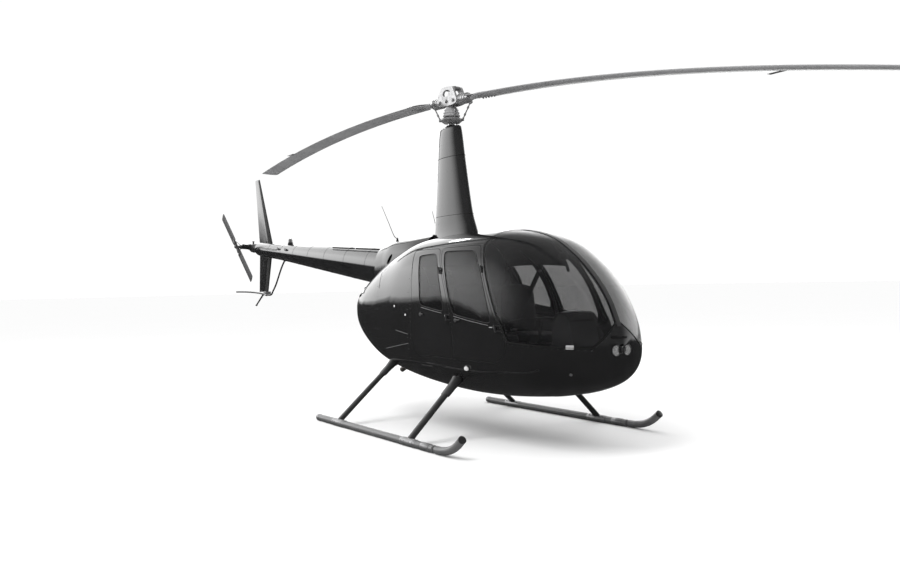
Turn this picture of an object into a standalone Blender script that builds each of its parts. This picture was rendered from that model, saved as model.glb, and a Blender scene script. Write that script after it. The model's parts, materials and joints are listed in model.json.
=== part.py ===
"""A light four-seat helicopter on skids, with a two-blade teetering rotor, parked.

Metres. +X is forward, +Y is port, +Z is up, and the skids stand on z = 0.
Lengths along the body are measured from the rotor mast, which stands MAST_X ahead of the
middle of the whole machine, so every piece hangs from the datum empty at the mast's foot.
"""

import math

import bmesh
import bpy
from mathutils import Matrix, Vector

# Driving dimensions
MAST_X = 0.815
HUB_Z = 3.28
ROTOR_RADIUS = 5.03
BLADE_DROOP = 0.018
TEETER_DROP = 0.288
TAIL_HUB = Vector((-5.886, -0.271, 2.058))
TAIL_RADIUS = 0.7365
TAIL_CHORD = 0.13
TAIL_PARKED_DEG = 44.0
TAIL_TEETER_DEG = -3.0
SKIN = 0.025
GLASS = 0.005
SKID_Y = 1.09
SKID_RADIUS = 0.034
SKID_Z = 0.0325
DOOR_GAP = 0.005
TOUCH = 0.0003
FLOOR_TOP = 0.62
RING_POINTS = 40
RING_STEPS = 2

# The body's sections, nose to tail. Above its widest line a section is half a superellipse
# of power n_up, and below it one of power n_low.
# x, half_width, z_top, z_wide, z_bottom, n_up, n_low
BODY = (
    (2.442, 0.040, 0.905, 0.865, 0.825, 2.0, 2.0),
    (2.430, 0.130, 0.990, 0.860, 0.730, 2.0, 2.0),
    (2.380, 0.255, 1.120, 0.850, 0.635, 2.1, 2.1),
    (2.285, 0.370, 1.290, 0.850, 0.560, 2.2, 2.2),
    (2.120, 0.475, 1.475, 0.860, 0.500, 2.3, 2.3),
    (1.900, 0.555, 1.650, 0.880, 0.450, 2.45, 2.5),
    (1.620, 0.610, 1.800, 0.900, 0.415, 2.6, 2.6),
    (1.250, 0.640, 1.885, 0.920, 0.390, 2.8, 2.8),
    (0.800, 0.645, 1.900, 0.940, 0.385, 3.0, 2.9),
    (0.300, 0.640, 1.895, 0.960, 0.410, 3.0, 2.9),
    (-0.150, 0.625, 1.875, 0.980, 0.455, 2.9, 2.9),
    (-0.500, 0.600, 1.810, 1.010, 0.510, 2.7, 2.9),
    (-0.800, 0.575, 1.705, 1.050, 0.590, 2.6, 3.0),
    (-1.060, 0.540, 1.590, 1.100, 0.710, 2.5, 3.0),
    (-1.260, 0.490, 1.480, 1.140, 0.840, 2.4, 3.0),
    (-1.400, 0.420, 1.390, 1.170, 0.955, 2.3, 2.8),
    (-1.460, 0.340, 1.320, 1.180, 1.040, 2.2, 2.6),
)

# Seams seen from the side, as (x, z) points from top to bottom
WINDSHIELD_EDGE = (
    (1.183, 1.755), (1.260, 1.662), (1.346, 1.529), (1.445, 1.366),
    (1.521, 1.232), (1.568, 1.144), (1.637, 1.051), (1.707, 0.922),
)
A_POST = 0.032
MID_POST = (
    (0.530, 1.750), (0.693, 1.546), (0.760, 1.440), (0.825, 1.337),
    (0.880, 1.200), (0.925, 1.050), (0.955, 0.900), (0.962, 0.735),
)
MID_POST_WIDTH = 0.030
DOOR_TOP = 1.750
DOOR_BOTTOM = 0.735
REAR_FOOT_RISE = 0.005
FRONT_DOOR_FOOT = ((1.690, 0.870), (1.665, 0.805), (1.600, 0.753), (1.520, DOOR_BOTTOM))
REAR_DOOR_BACK = (
    (0.300, DOOR_BOTTOM), (0.232, 0.775), (0.205, 0.850), (0.200, 1.200),
    (0.180, 1.378), (0.130, 1.555), (0.050, 1.690), (0.005, DOOR_TOP),
)
FRONT_WINDOW = (
    (0.635, 1.715), (1.120, 1.705), (1.285, 1.529), (1.385, 1.367), (1.462, 1.200),
    (1.505, 1.090), (1.480, 1.072), (0.965, 1.142), (0.945, 1.160), (0.900, 1.250),
    (0.845, 1.360), (0.775, 1.500), (0.660, 1.670),
)
REAR_WINDOW = (
    (0.170, 1.690), (0.490, 1.702), (0.590, 1.590), (0.690, 1.420), (0.760, 1.260),
    (0.785, 1.180), (0.765, 1.165), (0.390, 1.215), (0.360, 1.240), (0.335, 1.380),
    (0.290, 1.500), (0.210, 1.650),
)
WINDSHIELD_SILL = ((1.715, 0.917), (1.963, 0.899), (2.155, 0.889), (2.293, 0.885), (2.378, 0.880))
CENTRE_STRIP = 0.020
# The windshield's lower front corner seen from ahead, as (y, z) on the starboard side
NOSE_EDGE = ((-0.262, 0.876), (-0.187, 0.936), (-0.020, 1.075))
ROOF_FRONT_X = 1.165
ROOF_LINE = ((1.160, 1.768), (0.000, 1.768), (-0.350, 1.715), (-0.620, 1.610))
COWL_FRONT_X = 0.140
COWL_REAR_X = -0.620

# Hinge pins of the starboard doors: upper and lower point of each axis
FRONT_HINGE = (Vector((1.310, -0.569, 1.536)), Vector((1.585, -0.632, 1.028)))
REAR_HINGE = (Vector((0.672, -0.604, 1.539)), Vector((0.865, -0.660, 1.110)))
HINGE_RADIUS = 0.008
HINGE_LENGTH = 0.030
HINGE_LEAF_LOW = Vector((-0.020, -0.004, -0.007))
HINGE_LEAF_HIGH = Vector((-0.005, 0.022, 0.007))
LUG_LENGTH = 0.018
LUG_FOOT = 0.036
PLATE = 0.006
HINGE_CLEARANCE = 0.003
PANE_DEPTH = 0.002
FAN_Z = 1.060
FAN_X = -1.040
FAN_RADIUS = 0.250
OUTLET_RADIUS = 0.190

# The ridge behind the mast fairing: x, half_width, z_top
UPPER_COWL = (
    (-0.300, 0.200, 1.925),
    (-0.600, 0.250, 1.912),
    (-0.950, 0.258, 1.906),
    (-1.150, 0.245, 1.885),
    (-1.320, 0.236, 1.855),
)
UPPER_COWL_FOOT = 1.480
COWL_SEAT = 0.0008

# The fairing round the mast: x of its trailing and leading edge, thickness, z
MAST_FAIRING = (
    (-0.400, 0.440, 0.250, 1.860),
    (-0.362, 0.402, 0.205, 1.960),
    (-0.335, 0.330, 0.185, 2.150),
    (-0.280, 0.235, 0.165, 2.600),
    (-0.232, 0.168, 0.150, 2.960),
    (-0.180, 0.130, 0.110, 3.020),
)

# Seats as side outlines from the floor up, (x, z)
FRONT_SEAT = (
    (0.640, 0.6203), (1.170, 0.6203), (1.170, 0.820), (1.230, 0.880), (1.225, 0.925),
    (1.180, 0.950), (0.860, 0.925), (0.800, 0.960), (0.730, 1.360), (0.695, 1.400),
    (0.645, 1.390), (0.625, 1.340), (0.690, 0.930), (0.640, 0.850),
)
REAR_SEAT = (
    (0.1753, 0.6203), (0.560, 0.6203), (0.560, 0.850), (0.590, 0.890), (0.580, 0.930),
    (0.545, 0.950), (0.330, 0.930), (0.290, 0.970), (0.240, 1.380), (0.215, 1.410),
    (0.1753, 1.400),
)
SEAT_INNER_Y = 0.045
SEAT_OUTER_Y = 0.490

ENGINE_LOW = Vector((-0.720, -0.330, 0.6435))
ENGINE_HIGH = Vector((-0.180, 0.330, 1.180))
LAMP_Y = 0.058
LAMP_Z = 0.856
LAMP_RADIUS = 0.043
NAV_LIGHT = Vector((1.134, -0.606, 0.667))
BEACON_X = -4.360

# The tail cone's sections: x, radius. Its axis rises towards the tail.
CONE = ((-1.300, 0.232), (-4.600, 0.118), (-5.560, 0.101))
CONE_AXIS_X = -1.950
CONE_AXIS_Z = 1.676
CONE_RISE = 0.0924
CONE_WALL = 0.006

FIN_Y = 0.125
FIN_THICKNESS = 0.034
STABILIZER_SPAN = 1.000
STABILIZER_CHORD = 0.280
STABILIZER_X = -4.920
GUARD_RADIUS = 0.012
GUARD = (
    (-4.540, -0.020, 1.8030), (-4.640, -0.015, 1.740), (-4.780, 0.000, 1.645),
    (-5.000, 0.020, 1.465), (-5.190, 0.040, 1.356), (-5.280, 0.052, 1.312),
    (-5.380, 0.058, 1.296), (-5.560, 0.060, 1.305), (-5.900, 0.050, 1.333),
    (-6.300, 0.010, 1.349), (-6.640, -0.030, 1.352),
)
TAIL_SKID = ((-5.760, 0.118, 1.333), (-5.900, 0.105, 1.240), (-6.060, 0.090, 1.130))

# Landing gear: the two cross tubes, starboard foot to the middle: y, z
FRONT_TUBE_X = 0.909
REAR_TUBE_X = -0.511
FRONT_TUBE = ((-1.090, 0.034), (-1.055, 0.085), (-0.616, 0.507), (-0.560, 0.545), (-0.460, 0.560))
REAR_TUBE = ((-1.090, 0.034), (-1.055, 0.085), (-0.488, 0.577), (-0.430, 0.610), (-0.340, 0.620))
TUBE_CHORD = 0.088
TUBE_THICKNESS = 0.046
MAST_RADIUS = 0.036
TAIL_SHAFT = 0.018
RUNNING_GAP = 0.0005
SWASH_Z = 3.085
HUB_HALF_LENGTH = 0.200
HUB_SEAT_Z = 3.246
HUB_HEIGHT = 0.145

# The main blade's stations: distance from the mast, chord, thickness
BLADE_STATIONS = (
    (0.190, 0.090, 0.060),
    (0.330, 0.095, 0.055),
    (0.450, 0.150, 0.040),
    (0.560, 0.254, 0.030),
    (1.400, 0.254, 0.028),
    (2.400, 0.254, 0.028),
    (3.300, 0.254, 0.027),
    (4.200, 0.254, 0.026),
    (5.030, 0.254, 0.022),
)
SKID_PATH = (
    (-1.020, SKID_Z), (-0.400, SKID_Z), (0.300, SKID_Z), (1.000, SKID_Z), (1.360, SKID_Z),
    (1.470, 0.0385), (1.570, 0.058), (1.670, 0.103), (1.762, 0.172),
)

# Colours as (red, green, blue), roughness, metallic, alpha
FINISH = {
    "gloss_black": ((0.012, 0.012, 0.013), 0.12, 0.0, 1.0),
    "satin_black": ((0.020, 0.020, 0.021), 0.45, 0.0, 1.0),
    "grey_metal": ((0.42, 0.42, 0.43), 0.40, 0.8, 1.0),
    "blade_grey": ((0.35, 0.35, 0.36), 0.50, 0.0, 1.0),
    "tinted_glass": ((0.05, 0.05, 0.055), 0.05, 0.0, 0.45),
    "dark_leather": ((0.03, 0.03, 0.03), 0.60, 0.0, 1.0),
    "lamp_glass": ((0.85, 0.85, 0.85), 0.10, 0.0, 0.8),
    "engine_metal": ((0.25, 0.25, 0.25), 0.55, 0.7, 1.0),
}

for old in list(bpy.data.objects):
    bpy.data.objects.remove(old, do_unlink=True)

scene = bpy.context.scene
parts = bpy.data.collections.new("helicopter")
helpers = bpy.data.collections.new("cutters")
scene.collection.children.link(parts)
scene.collection.children.link(helpers)


def empty(name, place, parent=None, rotation=None):
    made = bpy.data.objects.new(name, None)
    made.parent = parent
    made.location = place
    if rotation:
        made.rotation_euler = rotation
    parts.objects.link(made)
    return made


datum = empty("datum", (MAST_X, 0.0, 0.0))


def finish(name):
    """The material of this name, made once."""
    known = bpy.data.materials.get(name)
    if known:
        return known
    colour, roughness, metallic, alpha = FINISH[name]
    made = bpy.data.materials.new(name)
    made.use_nodes = True
    shader = made.node_tree.nodes["Principled BSDF"]
    shader.inputs["Base Color"].default_value = (*colour, 1.0)
    shader.inputs["Roughness"].default_value = roughness
    shader.inputs["Metallic"].default_value = metallic
    shader.inputs["Alpha"].default_value = alpha
    made.diffuse_color = (*colour, alpha)
    return made


def to_object(name, shape, look=None, parent=datum, smooth=True):
    """A part, or with no look a cutter, from a bmesh in the mast's frame."""
    mesh = bpy.data.meshes.new(name)
    shape.to_mesh(mesh)
    shape.free()
    made = bpy.data.objects.new(name, mesh)
    if look is None:
        helpers.objects.link(made)
        made.hide_render = True
        made.display_type = "WIRE"
        made.parent = datum
        return made
    parts.objects.link(made)
    mesh.materials.append(finish(look))
    if smooth:
        mesh.shade_smooth()
        mesh.set_sharp_from_angle(angle=math.radians(35))
    made.parent = parent
    if parent is not datum:
        made.location = -parent.location
    return made


def boolean(target, other, operation):
    step = target.modifiers.new(other.name, "BOOLEAN")
    step.object = other
    step.operation = operation
    step.solver = "EXACT"
    return target


def cut(target, *cutters):
    for cutter in cutters:
        boolean(target, cutter, "DIFFERENCE")
    return target


def keep(target, *cutters):
    for cutter in cutters:
        boolean(target, cutter, "INTERSECT")
    return target


def join(target, *others):
    for other in others:
        boolean(target, other, "UNION")
    return target


def loft(rings):
    """A closed skin through rings of equal count, capped at both ends."""
    shape = bmesh.new()
    loops = [[shape.verts.new(point) for point in ring] for ring in rings]
    count = len(loops[0])
    for near, far in zip(loops[:-1], loops[1:]):
        for i in range(count):
            j = (i + 1) % count
            shape.faces.new((near[i], near[j], far[j], far[i]))
    shape.faces.new(reversed(loops[0]))
    shape.faces.new(loops[-1])
    bmesh.ops.recalc_face_normals(shape, faces=shape.faces)
    return shape


def box(low, high):
    shape = bmesh.new()
    bmesh.ops.create_cube(shape, size=1.0)
    low, high = Vector(low), Vector(high)
    bmesh.ops.scale(shape, vec=high - low, verts=shape.verts)
    bmesh.ops.translate(shape, vec=(low + high) / 2, verts=shape.verts)
    return shape


def rod(start, end, radius, end_radius=None, sides=16):
    """A cylinder or cone between two points."""
    shape = bmesh.new()
    start, end = Vector(start), Vector(end)
    along = end - start
    turn = along.to_track_quat("Z", "Y").to_matrix().to_4x4()
    bmesh.ops.create_cone(
        shape,
        cap_ends=True,
        segments=sides,
        radius1=radius,
        radius2=radius if end_radius is None else end_radius,
        depth=along.length,
        matrix=Matrix.Translation((start + end) / 2) @ turn,
    )
    return shape


def prism(outline, axis, low, high):
    """A flat outline pushed along an axis: (y, z) points for X, (x, z) for Y, (x, y) for Z."""
    shape = bmesh.new()
    place = "XYZ".index(axis)
    points = []
    for a, b in outline:
        point = [a, b]
        point.insert(place, low)
        points.append(Vector(point))
    push = Vector((0.0, 0.0, 0.0))
    push[place] = high - low
    face = shape.faces.new([shape.verts.new(point) for point in points])
    pushed = bmesh.ops.extrude_face_region(shape, geom=[face])
    moved = [item for item in pushed["geom"] if isinstance(item, bmesh.types.BMVert)]
    bmesh.ops.translate(shape, vec=push, verts=moved)
    bmesh.ops.recalc_face_normals(shape, faces=shape.faces)
    return shape


def gathered(shapes):
    """Several shapes in one bmesh."""
    whole = bmesh.new()
    for shape in shapes:
        mesh = bpy.data.meshes.new("piece")
        shape.to_mesh(mesh)
        shape.free()
        whole.from_mesh(mesh)
        bpy.data.meshes.remove(mesh)
    return whole


def grown(outline, by):
    """The outline with each edge moved out by this much, or in when it is negative."""
    count = len(outline)
    area = sum(
        outline[i][0] * outline[(i + 1) % count][1] - outline[(i + 1) % count][0] * outline[i][1]
        for i in range(count)
    )
    side = 1.0 if area > 0 else -1.0
    moved = []
    for i, here in enumerate(outline):
        here = Vector(here)
        before = (here - Vector(outline[i - 1])).normalized()
        after = (Vector(outline[(i + 1) % count]) - here).normalized()
        out_before = Vector((before.y, -before.x)) * side
        out_after = Vector((after.y, -after.x)) * side
        corner = (out_before + out_after).normalized()
        moved.append(tuple(here + corner * (by / max(0.5, corner.dot(out_before)))))
    return moved


def mirrored(shape):
    """The same shape on the port side."""
    bmesh.ops.scale(shape, vec=(1.0, -1.0, 1.0), verts=shape.verts)
    bmesh.ops.reverse_faces(shape, faces=shape.faces)
    return shape


def on_side(side, shape):
    return shape if side == "right" else mirrored(shape)


def spline(rows, place):
    """The row at a place along a table, on a smooth curve through its rows."""
    i = min(int(place), len(rows) - 2)
    t = place - i
    here, there = rows[i], rows[i + 1]
    before = rows[i - 1] if i else [2 * a - b for a, b in zip(here, there)]
    if i + 2 < len(rows):
        beyond = rows[i + 2]
    else:
        beyond = [2 * b - a for a, b in zip(here, there)]
    return [
        0.5 * (2 * b + (c - a) * t + (2 * a - 5 * b + 4 * c - d) * t * t
               + (3 * b - a - 3 * c + d) * t * t * t)
        for a, b, c, d in zip(before, here, there, beyond)
    ]


def section(x, half_width, z_top, z_wide, z_bottom, n_up, n_low):
    """One ring of the body."""
    ring = []
    for i in range(RING_POINTS):
        angle = 2 * math.pi * i / RING_POINTS
        across, up = math.sin(angle), math.cos(angle)
        power, height = (n_up, z_top - z_wide) if up >= 0 else (n_low, z_wide - z_bottom)
        y = -half_width * math.copysign(abs(across) ** (2 / power), across)
        z = z_wide + height * math.copysign(abs(up) ** (2 / power), up)
        ring.append(Vector((x, y, z)))
    return ring


def body_shape(inset=0.0):
    """The body's outer surface as a solid, or one that lies this far inside it."""
    steps = (len(BODY) - 1) * RING_STEPS
    shape = loft([section(*spline(BODY, i / RING_STEPS)) for i in range(steps + 1)])
    if inset:
        shape.normal_update()
        for vert, inward in [(vert, -vert.normal * inset) for vert in shape.verts]:
            vert.co += inward
    return shape


def body_shell(depth, thickness):
    """The body's skin between two depths, as one hollow shape."""
    shape = body_shape(depth)
    inner = body_shape(depth + thickness)
    bmesh.ops.reverse_faces(inner, faces=inner.faces)
    mesh = bpy.data.meshes.new("inner")
    inner.to_mesh(mesh)
    inner.free()
    shape.from_mesh(mesh)
    bpy.data.meshes.remove(mesh)
    return shape


def cone_axis_z(x):
    return CONE_AXIS_Z + (CONE_AXIS_X - x) * CONE_RISE


def circle(x, radius, sides=24):
    """A ring across the tail cone's axis."""
    angles = [2 * math.pi * i / sides for i in range(sides)]
    return [Vector((x, radius * math.sin(a), cone_axis_z(x) + radius * math.cos(a))) for a in angles]


def wing(root, tip, root_chord, tip_chord, thickness, forward=Vector((1, 0, 0)), sides=12):
    """A symmetric aerofoil slab between two points at its leading edge's quarter."""
    span = Vector(tip) - Vector(root)
    across = span.cross(forward).normalized()
    rings = []
    for place, chord in ((Vector(root), root_chord), (Vector(tip), tip_chord)):
        ring = []
        for i in range(sides):
            angle = 2 * math.pi * i / sides
            along = 0.5 * math.cos(angle)
            swell = 0.5 * math.sin(angle) * (0.62 + 0.76 * along)
            ring.append(place + forward * chord * along + across * thickness * (chord / root_chord) * swell)
        rings.append(ring)
    return loft(rings)


def tube_rings(path, chord, thickness, sides=12):
    """Oval rings along a path in a plane of constant x."""
    rings = []
    for i, place in enumerate(path):
        before = path[max(0, i - 1)]
        after = path[min(len(path) - 1, i + 1)]
        along = (Vector(after) - Vector(before)).normalized()
        across = Vector((1, 0, 0)).cross(along)
        ring = []
        for k in range(sides):
            angle = 2 * math.pi * k / sides
            ring.append(
                Vector(place)
                + Vector((1, 0, 0)) * chord / 2 * math.cos(angle)
                + across * thickness / 2 * math.sin(angle)
            )
        rings.append(ring)
    return rings


def pipe(name, points, radius, look=None, resolution=3):
    """A round tube along a line of points: a part, or with no look a cutter."""
    curve = bpy.data.curves.new(name, "CURVE")
    curve.dimensions = "3D"
    curve.bevel_depth = radius
    curve.bevel_resolution = resolution
    curve.use_fill_caps = True
    line = curve.splines.new("POLY")
    line.points.add(len(points) - 1)
    for knot, point in zip(line.points, points):
        knot.co = (*point, 1.0)
    holder = bpy.data.objects.new(name + "_line", curve)
    parts.objects.link(holder)
    bpy.context.view_layer.update()
    graph = bpy.context.evaluated_depsgraph_get()
    mesh = bpy.data.meshes.new_from_object(holder.evaluated_get(graph))
    shape = bmesh.new()
    shape.from_mesh(mesh)
    bmesh.ops.remove_doubles(shape, verts=shape.verts, dist=0.00005)
    bmesh.ops.recalc_face_normals(shape, faces=shape.faces)
    bpy.data.objects.remove(holder, do_unlink=True)
    bpy.data.meshes.remove(mesh)
    return to_object(name, shape, look)


def door_outline(which):
    """A door's edge in the side view, clockwise from its upper rear corner."""
    half = MID_POST_WIDTH / 2
    if which == "front":
        front = [(x - A_POST, z) for x, z in WINDSHIELD_EDGE]
        rear = [(x + half, z) for x, z in reversed(MID_POST)]
        return front + list(FRONT_DOOR_FOOT) + rear
    front = [(x - half, z) for x, z in MID_POST[:-1]]
    foot = (MID_POST[-1][0] - half, DOOR_BOTTOM + REAR_FOOT_RISE)
    back = (REAR_DOOR_BACK[0][0], DOOR_BOTTOM + REAR_FOOT_RISE)
    return front + [foot, back] + list(REAR_DOOR_BACK[1:])


def windshield_cutter(name, grow):
    """The starboard windshield's region: a side view met with a front view."""
    far = 3.0
    side_view = grown(
        [(ROOF_FRONT_X + 0.02, 2.2)] + list(WINDSHIELD_EDGE[:-1]) + list(WINDSHIELD_SILL)
        + [(far, WINDSHIELD_SILL[-1][1]), (far, 2.2)],
        grow,
    )
    front_view = grown(
        [(-0.9, NOSE_EDGE[0][1])] + list(NOSE_EDGE) + [(-CENTRE_STRIP, 2.2), (-0.9, 2.2)], grow
    )
    made = to_object(name, prism(side_view, "Y", -0.95, -0.001))
    ahead = to_object(name + "_front_view", prism(front_view, "X", 0.9, 3.2))
    return keep(made, ahead)


def mirror_cutter(source, name):
    made = source.copy()
    made.data = source.data.copy()
    made.name = name
    helpers.objects.link(made)
    made.modifiers.clear()
    shape = bmesh.new()
    graph = bpy.context.evaluated_depsgraph_get()
    shape.from_object(source, graph)
    mirrored(shape).to_mesh(made.data)
    shape.free()
    return made


# Cutters that the shell's panels share
roof_side = list(ROOF_LINE) + [(COWL_REAR_X, 2.4), (ROOF_FRONT_X, 2.4)]
roof_region = to_object("roof_region", prism(roof_side, "Y", -1, 1))
roof_hole = to_object("roof_hole", prism(grown(roof_side, TOUCH), "Y", -1, 1))
windshield_hole = {"right": windshield_cutter("windshield_hole_right", 0.0)}
windshield_pane = {"right": windshield_cutter("windshield_pane_right", -TOUCH)}
bpy.context.view_layer.update()
windshield_hole["left"] = mirror_cutter(windshield_hole["right"], "windshield_hole_left")
windshield_pane["left"] = mirror_cutter(windshield_pane["right"], "windshield_pane_left")


def side_cutter(name, side, outline):
    return to_object(f"{name}_{side}", on_side(side, prism(outline, "Y", -0.95, -0.2)))


def build_cross_tubes():
    """The two cross tubes with their legs, and cutters a little fatter than they are."""
    skids = [
        to_object(
            f"skid_saddle_{side}",
            rod((-1.2, y, SKID_Z), (1.4, y, SKID_Z), SKID_RADIUS + TOUCH, sides=24),
        )
        for side, y in (("right", -SKID_Y), ("left", SKID_Y))
    ]
    holes = []
    for name, x, half in (("front", FRONT_TUBE_X, FRONT_TUBE), ("rear", REAR_TUBE_X, REAR_TUBE)):
        path = [(x, y, z) for y, z in half] + [(x, -y, z) for y, z in reversed(half)]
        leg = loft(tube_rings(path, TUBE_CHORD, TUBE_THICKNESS))
        cut(to_object(f"{name}_cross_tube", leg, "satin_black"), *skids)
        fat = 2 * TOUCH
        hole = loft(tube_rings(path, TUBE_CHORD + fat, TUBE_THICKNESS + fat))
        holes.append(to_object(f"{name}_tube_hole", hole))
    return holes


tube_holes = build_cross_tubes()


def seam_x(line, z):
    """Where a seam given from top to bottom crosses a height."""
    for (x0, z0), (x1, z1) in zip(line[:-1], line[1:]):
        if z0 >= z >= z1:
            return x0 + (x1 - x0) * (z0 - z) / (z0 - z1)
    return line[-1][0]


def post_x(which, z):
    """The middle of the post that carries a door's hinges."""
    if which == "front":
        return seam_x(WINDSHIELD_EDGE, z) - A_POST / 2 + DOOR_GAP / 4
    return seam_x(MID_POST, z)


def hinge_pieces(side, which, axis):
    """Shapes of one door's hinge barrels and leaves, and of the lugs and plates on its post."""
    upper, lower = axis
    along = (upper - lower).normalized()
    barrels, leaves, lugs, plates, pockets, reliefs = [], [], [], [], [], []
    for place in (upper, lower):
        half = along * HINGE_LENGTH / 2
        pockets.append(rod(place - half, place + half, HINGE_RADIUS + HINGE_CLEARANCE, sides=12))
        reach = along * (HINGE_LENGTH / 2 + LUG_LENGTH + HINGE_CLEARANCE)
        reliefs.append(rod(place - reach, place + reach, HINGE_RADIUS + HINGE_CLEARANCE, sides=12))
        barrels.append(rod(place - half, place + half, HINGE_RADIUS, sides=12))
        leaves.append(box(place + HINGE_LEAF_LOW, place + HINGE_LEAF_HIGH))
        for way in (-1, 1):
            near = place + along * way * (HINGE_LENGTH / 2 + TOUCH)
            lugs.append(rod(near, near + along * way * LUG_LENGTH, HINGE_RADIUS, sides=12))
            middle = near + along * way * LUG_LENGTH / 2
            foot_x = post_x(which, middle.z)
            outline = (
                (middle.x, middle.y - PLATE / 2), (foot_x + PLATE, middle.y - PLATE / 2),
                (foot_x + PLATE, middle.y + LUG_FOOT), (foot_x - PLATE, middle.y + LUG_FOOT),
                (foot_x - PLATE, middle.y + PLATE / 2), (middle.x, middle.y + PLATE / 2),
            )
            plates.append(prism(outline, "Z", middle.z - PLATE / 2, middle.z + PLATE / 2))
    groups = (barrels, leaves, lugs, plates, pockets, reliefs)
    return [[on_side(side, shape) for shape in group] for group in groups]


def build_doors(cabin, side):
    """The two doors on one side with their window panes, and their doorways in the shell."""
    all_lugs, all_plates = [], []
    for which, window, axis in (("front", FRONT_WINDOW, FRONT_HINGE), ("rear", REAR_WINDOW, REAR_HINGE)):
        outline = door_outline(which)
        doorway = outline
        if which == "rear":
            doorway = [(x, z - REAR_FOOT_RISE * (z < DOOR_BOTTOM + 2 * REAR_FOOT_RISE)) for x, z in outline]
        cut(cabin, side_cutter(f"{which}_doorway", side, grown(doorway, DOOR_GAP / 2)))
        origin = Vector((axis[0].x, axis[0].y if side == "right" else -axis[0].y, axis[0].z))
        hinge = empty(f"{which}_door_{side}_hinge", origin, datum)
        door = to_object(f"{which}_door_{side}", body_shell(0.0, SKIN), "gloss_black", hinge)
        keep(door, side_cutter(f"{which}_door_edge", side, grown(outline, -DOOR_GAP / 2)))
        cut(door, side_cutter(f"{which}_window_hole", side, window))
        barrels, leaves, lugs, plates, pockets, reliefs = hinge_pieces(side, which, axis)
        cut(cabin, to_object(f"{which}_hinge_pockets_{side}", gathered(pockets)))
        cut(door, to_object(f"{which}_reliefs_{side}", gathered(reliefs)))
        join(door, to_object(f"{which}_leaves_{side}", gathered(leaves)))
        join(door, to_object(f"{which}_barrels_{side}", gathered(barrels)))
        all_lugs += lugs
        all_plates += plates
        glass = to_object(f"{which}_window_{side}", body_shell(PANE_DEPTH, GLASS), "tinted_glass", hinge)
        keep(glass, side_cutter(f"{which}_window_edge", side, grown(window, -TOUCH)))
    join(cabin, to_object(f"plates_{side}", gathered(all_plates)))
    join(cabin, to_object(f"lugs_{side}", gathered(all_lugs)))


def build_cabin():
    """The cabin's fixed shell with its windshields, and its doors."""
    cabin = to_object("cabin_shell", body_shell(0.0, SKIN), "gloss_black")
    keep(cabin, to_object("cabin_region", box((COWL_FRONT_X, -1, 0), (3, 1, 3))))
    cut(cabin, roof_hole, *windshield_hole.values(), tube_holes[0])
    for side in ("right", "left"):
        pane = to_object(f"windshield_{side}", body_shell(PANE_DEPTH, GLASS), "tinted_glass")
        keep(pane, windshield_pane[side])
        build_doors(cabin, side)


def build_cowls():
    """The roof cowling, the cowls on the engine's two sides and the one behind it."""
    roof = to_object("roof_cowling", body_shell(0.0, SKIN), "gloss_black")
    keep(roof, roof_region)
    for side, low_y, high_y in (("right", -1.0, -TOUCH / 2), ("left", TOUCH / 2, 1.0)):
        cowl = to_object(f"engine_cowl_{side}", body_shell(0.0, SKIN), "gloss_black")
        region = box((COWL_REAR_X, low_y, 0.0), (COWL_FRONT_X - TOUCH, high_y, 3.0))
        keep(cowl, to_object(f"cowl_region_{side}", region))
        doorway = side_cutter("cowl_doorway", side, grown(door_outline("rear"), 1.5 * DOOR_GAP))
        cut(cowl, roof_hole, tube_holes[1], doorway)
    aft = to_object("aft_cowl", body_shell(0.0, SKIN), "gloss_black")
    keep(aft, to_object("aft_region", box((-2.0, -1.0, 0.0), (COWL_REAR_X - TOUCH, 1.0, 3.0))))
    outlet = rod((-1.30, 0.0, FAN_Z), (-1.60, 0.0, FAN_Z), OUTLET_RADIUS, sides=24)
    cone_hole = loft([circle(x, radius + TOUCH) for x, radius in ((-0.9, 0.246), (-1.9, 0.2113))])
    cut(aft, to_object("fan_outlet", outlet), to_object("cone_hole", cone_hole))


def ridge_rings(extra=0.0):
    """The rings of the ridge behind the mast, this much larger."""
    rings = []
    for x, half_width, z_top in UPPER_COWL:
        ring = []
        for i in range(20):
            angle = math.pi * i / 19
            across, up = math.cos(angle), math.sin(angle)
            y = (half_width + extra) * math.copysign(abs(across) ** 0.6, across)
            ring.append(Vector((x, y, UPPER_COWL_FOOT + (z_top + extra - UPPER_COWL_FOOT) * up ** 0.6)))
        rings.append(ring)
    return rings


def build_upper_cowling():
    """The ridge that runs from the mast fairing back over the tail cone's root."""
    rings = ridge_rings()
    ridge = to_object("upper_cowling", loft(rings), "gloss_black")
    inner = [[Vector((v.x, v.y * 0.93, v.z - 0.016)) for v in ring] for ring in rings]
    inner[0] = [v + Vector((0.03, 0, 0)) for v in inner[0]]
    inner[-1] = [v - Vector((0.03, 0, 0)) for v in inner[-1]]
    hollow = to_object("upper_cowling_hollow", loft(inner))
    body_hole = to_object("body_hole", body_shape(-COWL_SEAT))
    cone_hole = loft([circle(x, radius + TOUCH) for x, radius in ((-0.6, 0.2563), (-1.9, 0.2113))])
    cut(ridge, hollow, body_hole, to_object("cone_hole_above", cone_hole))


build_cabin()
build_cowls()
build_upper_cowling()


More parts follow.
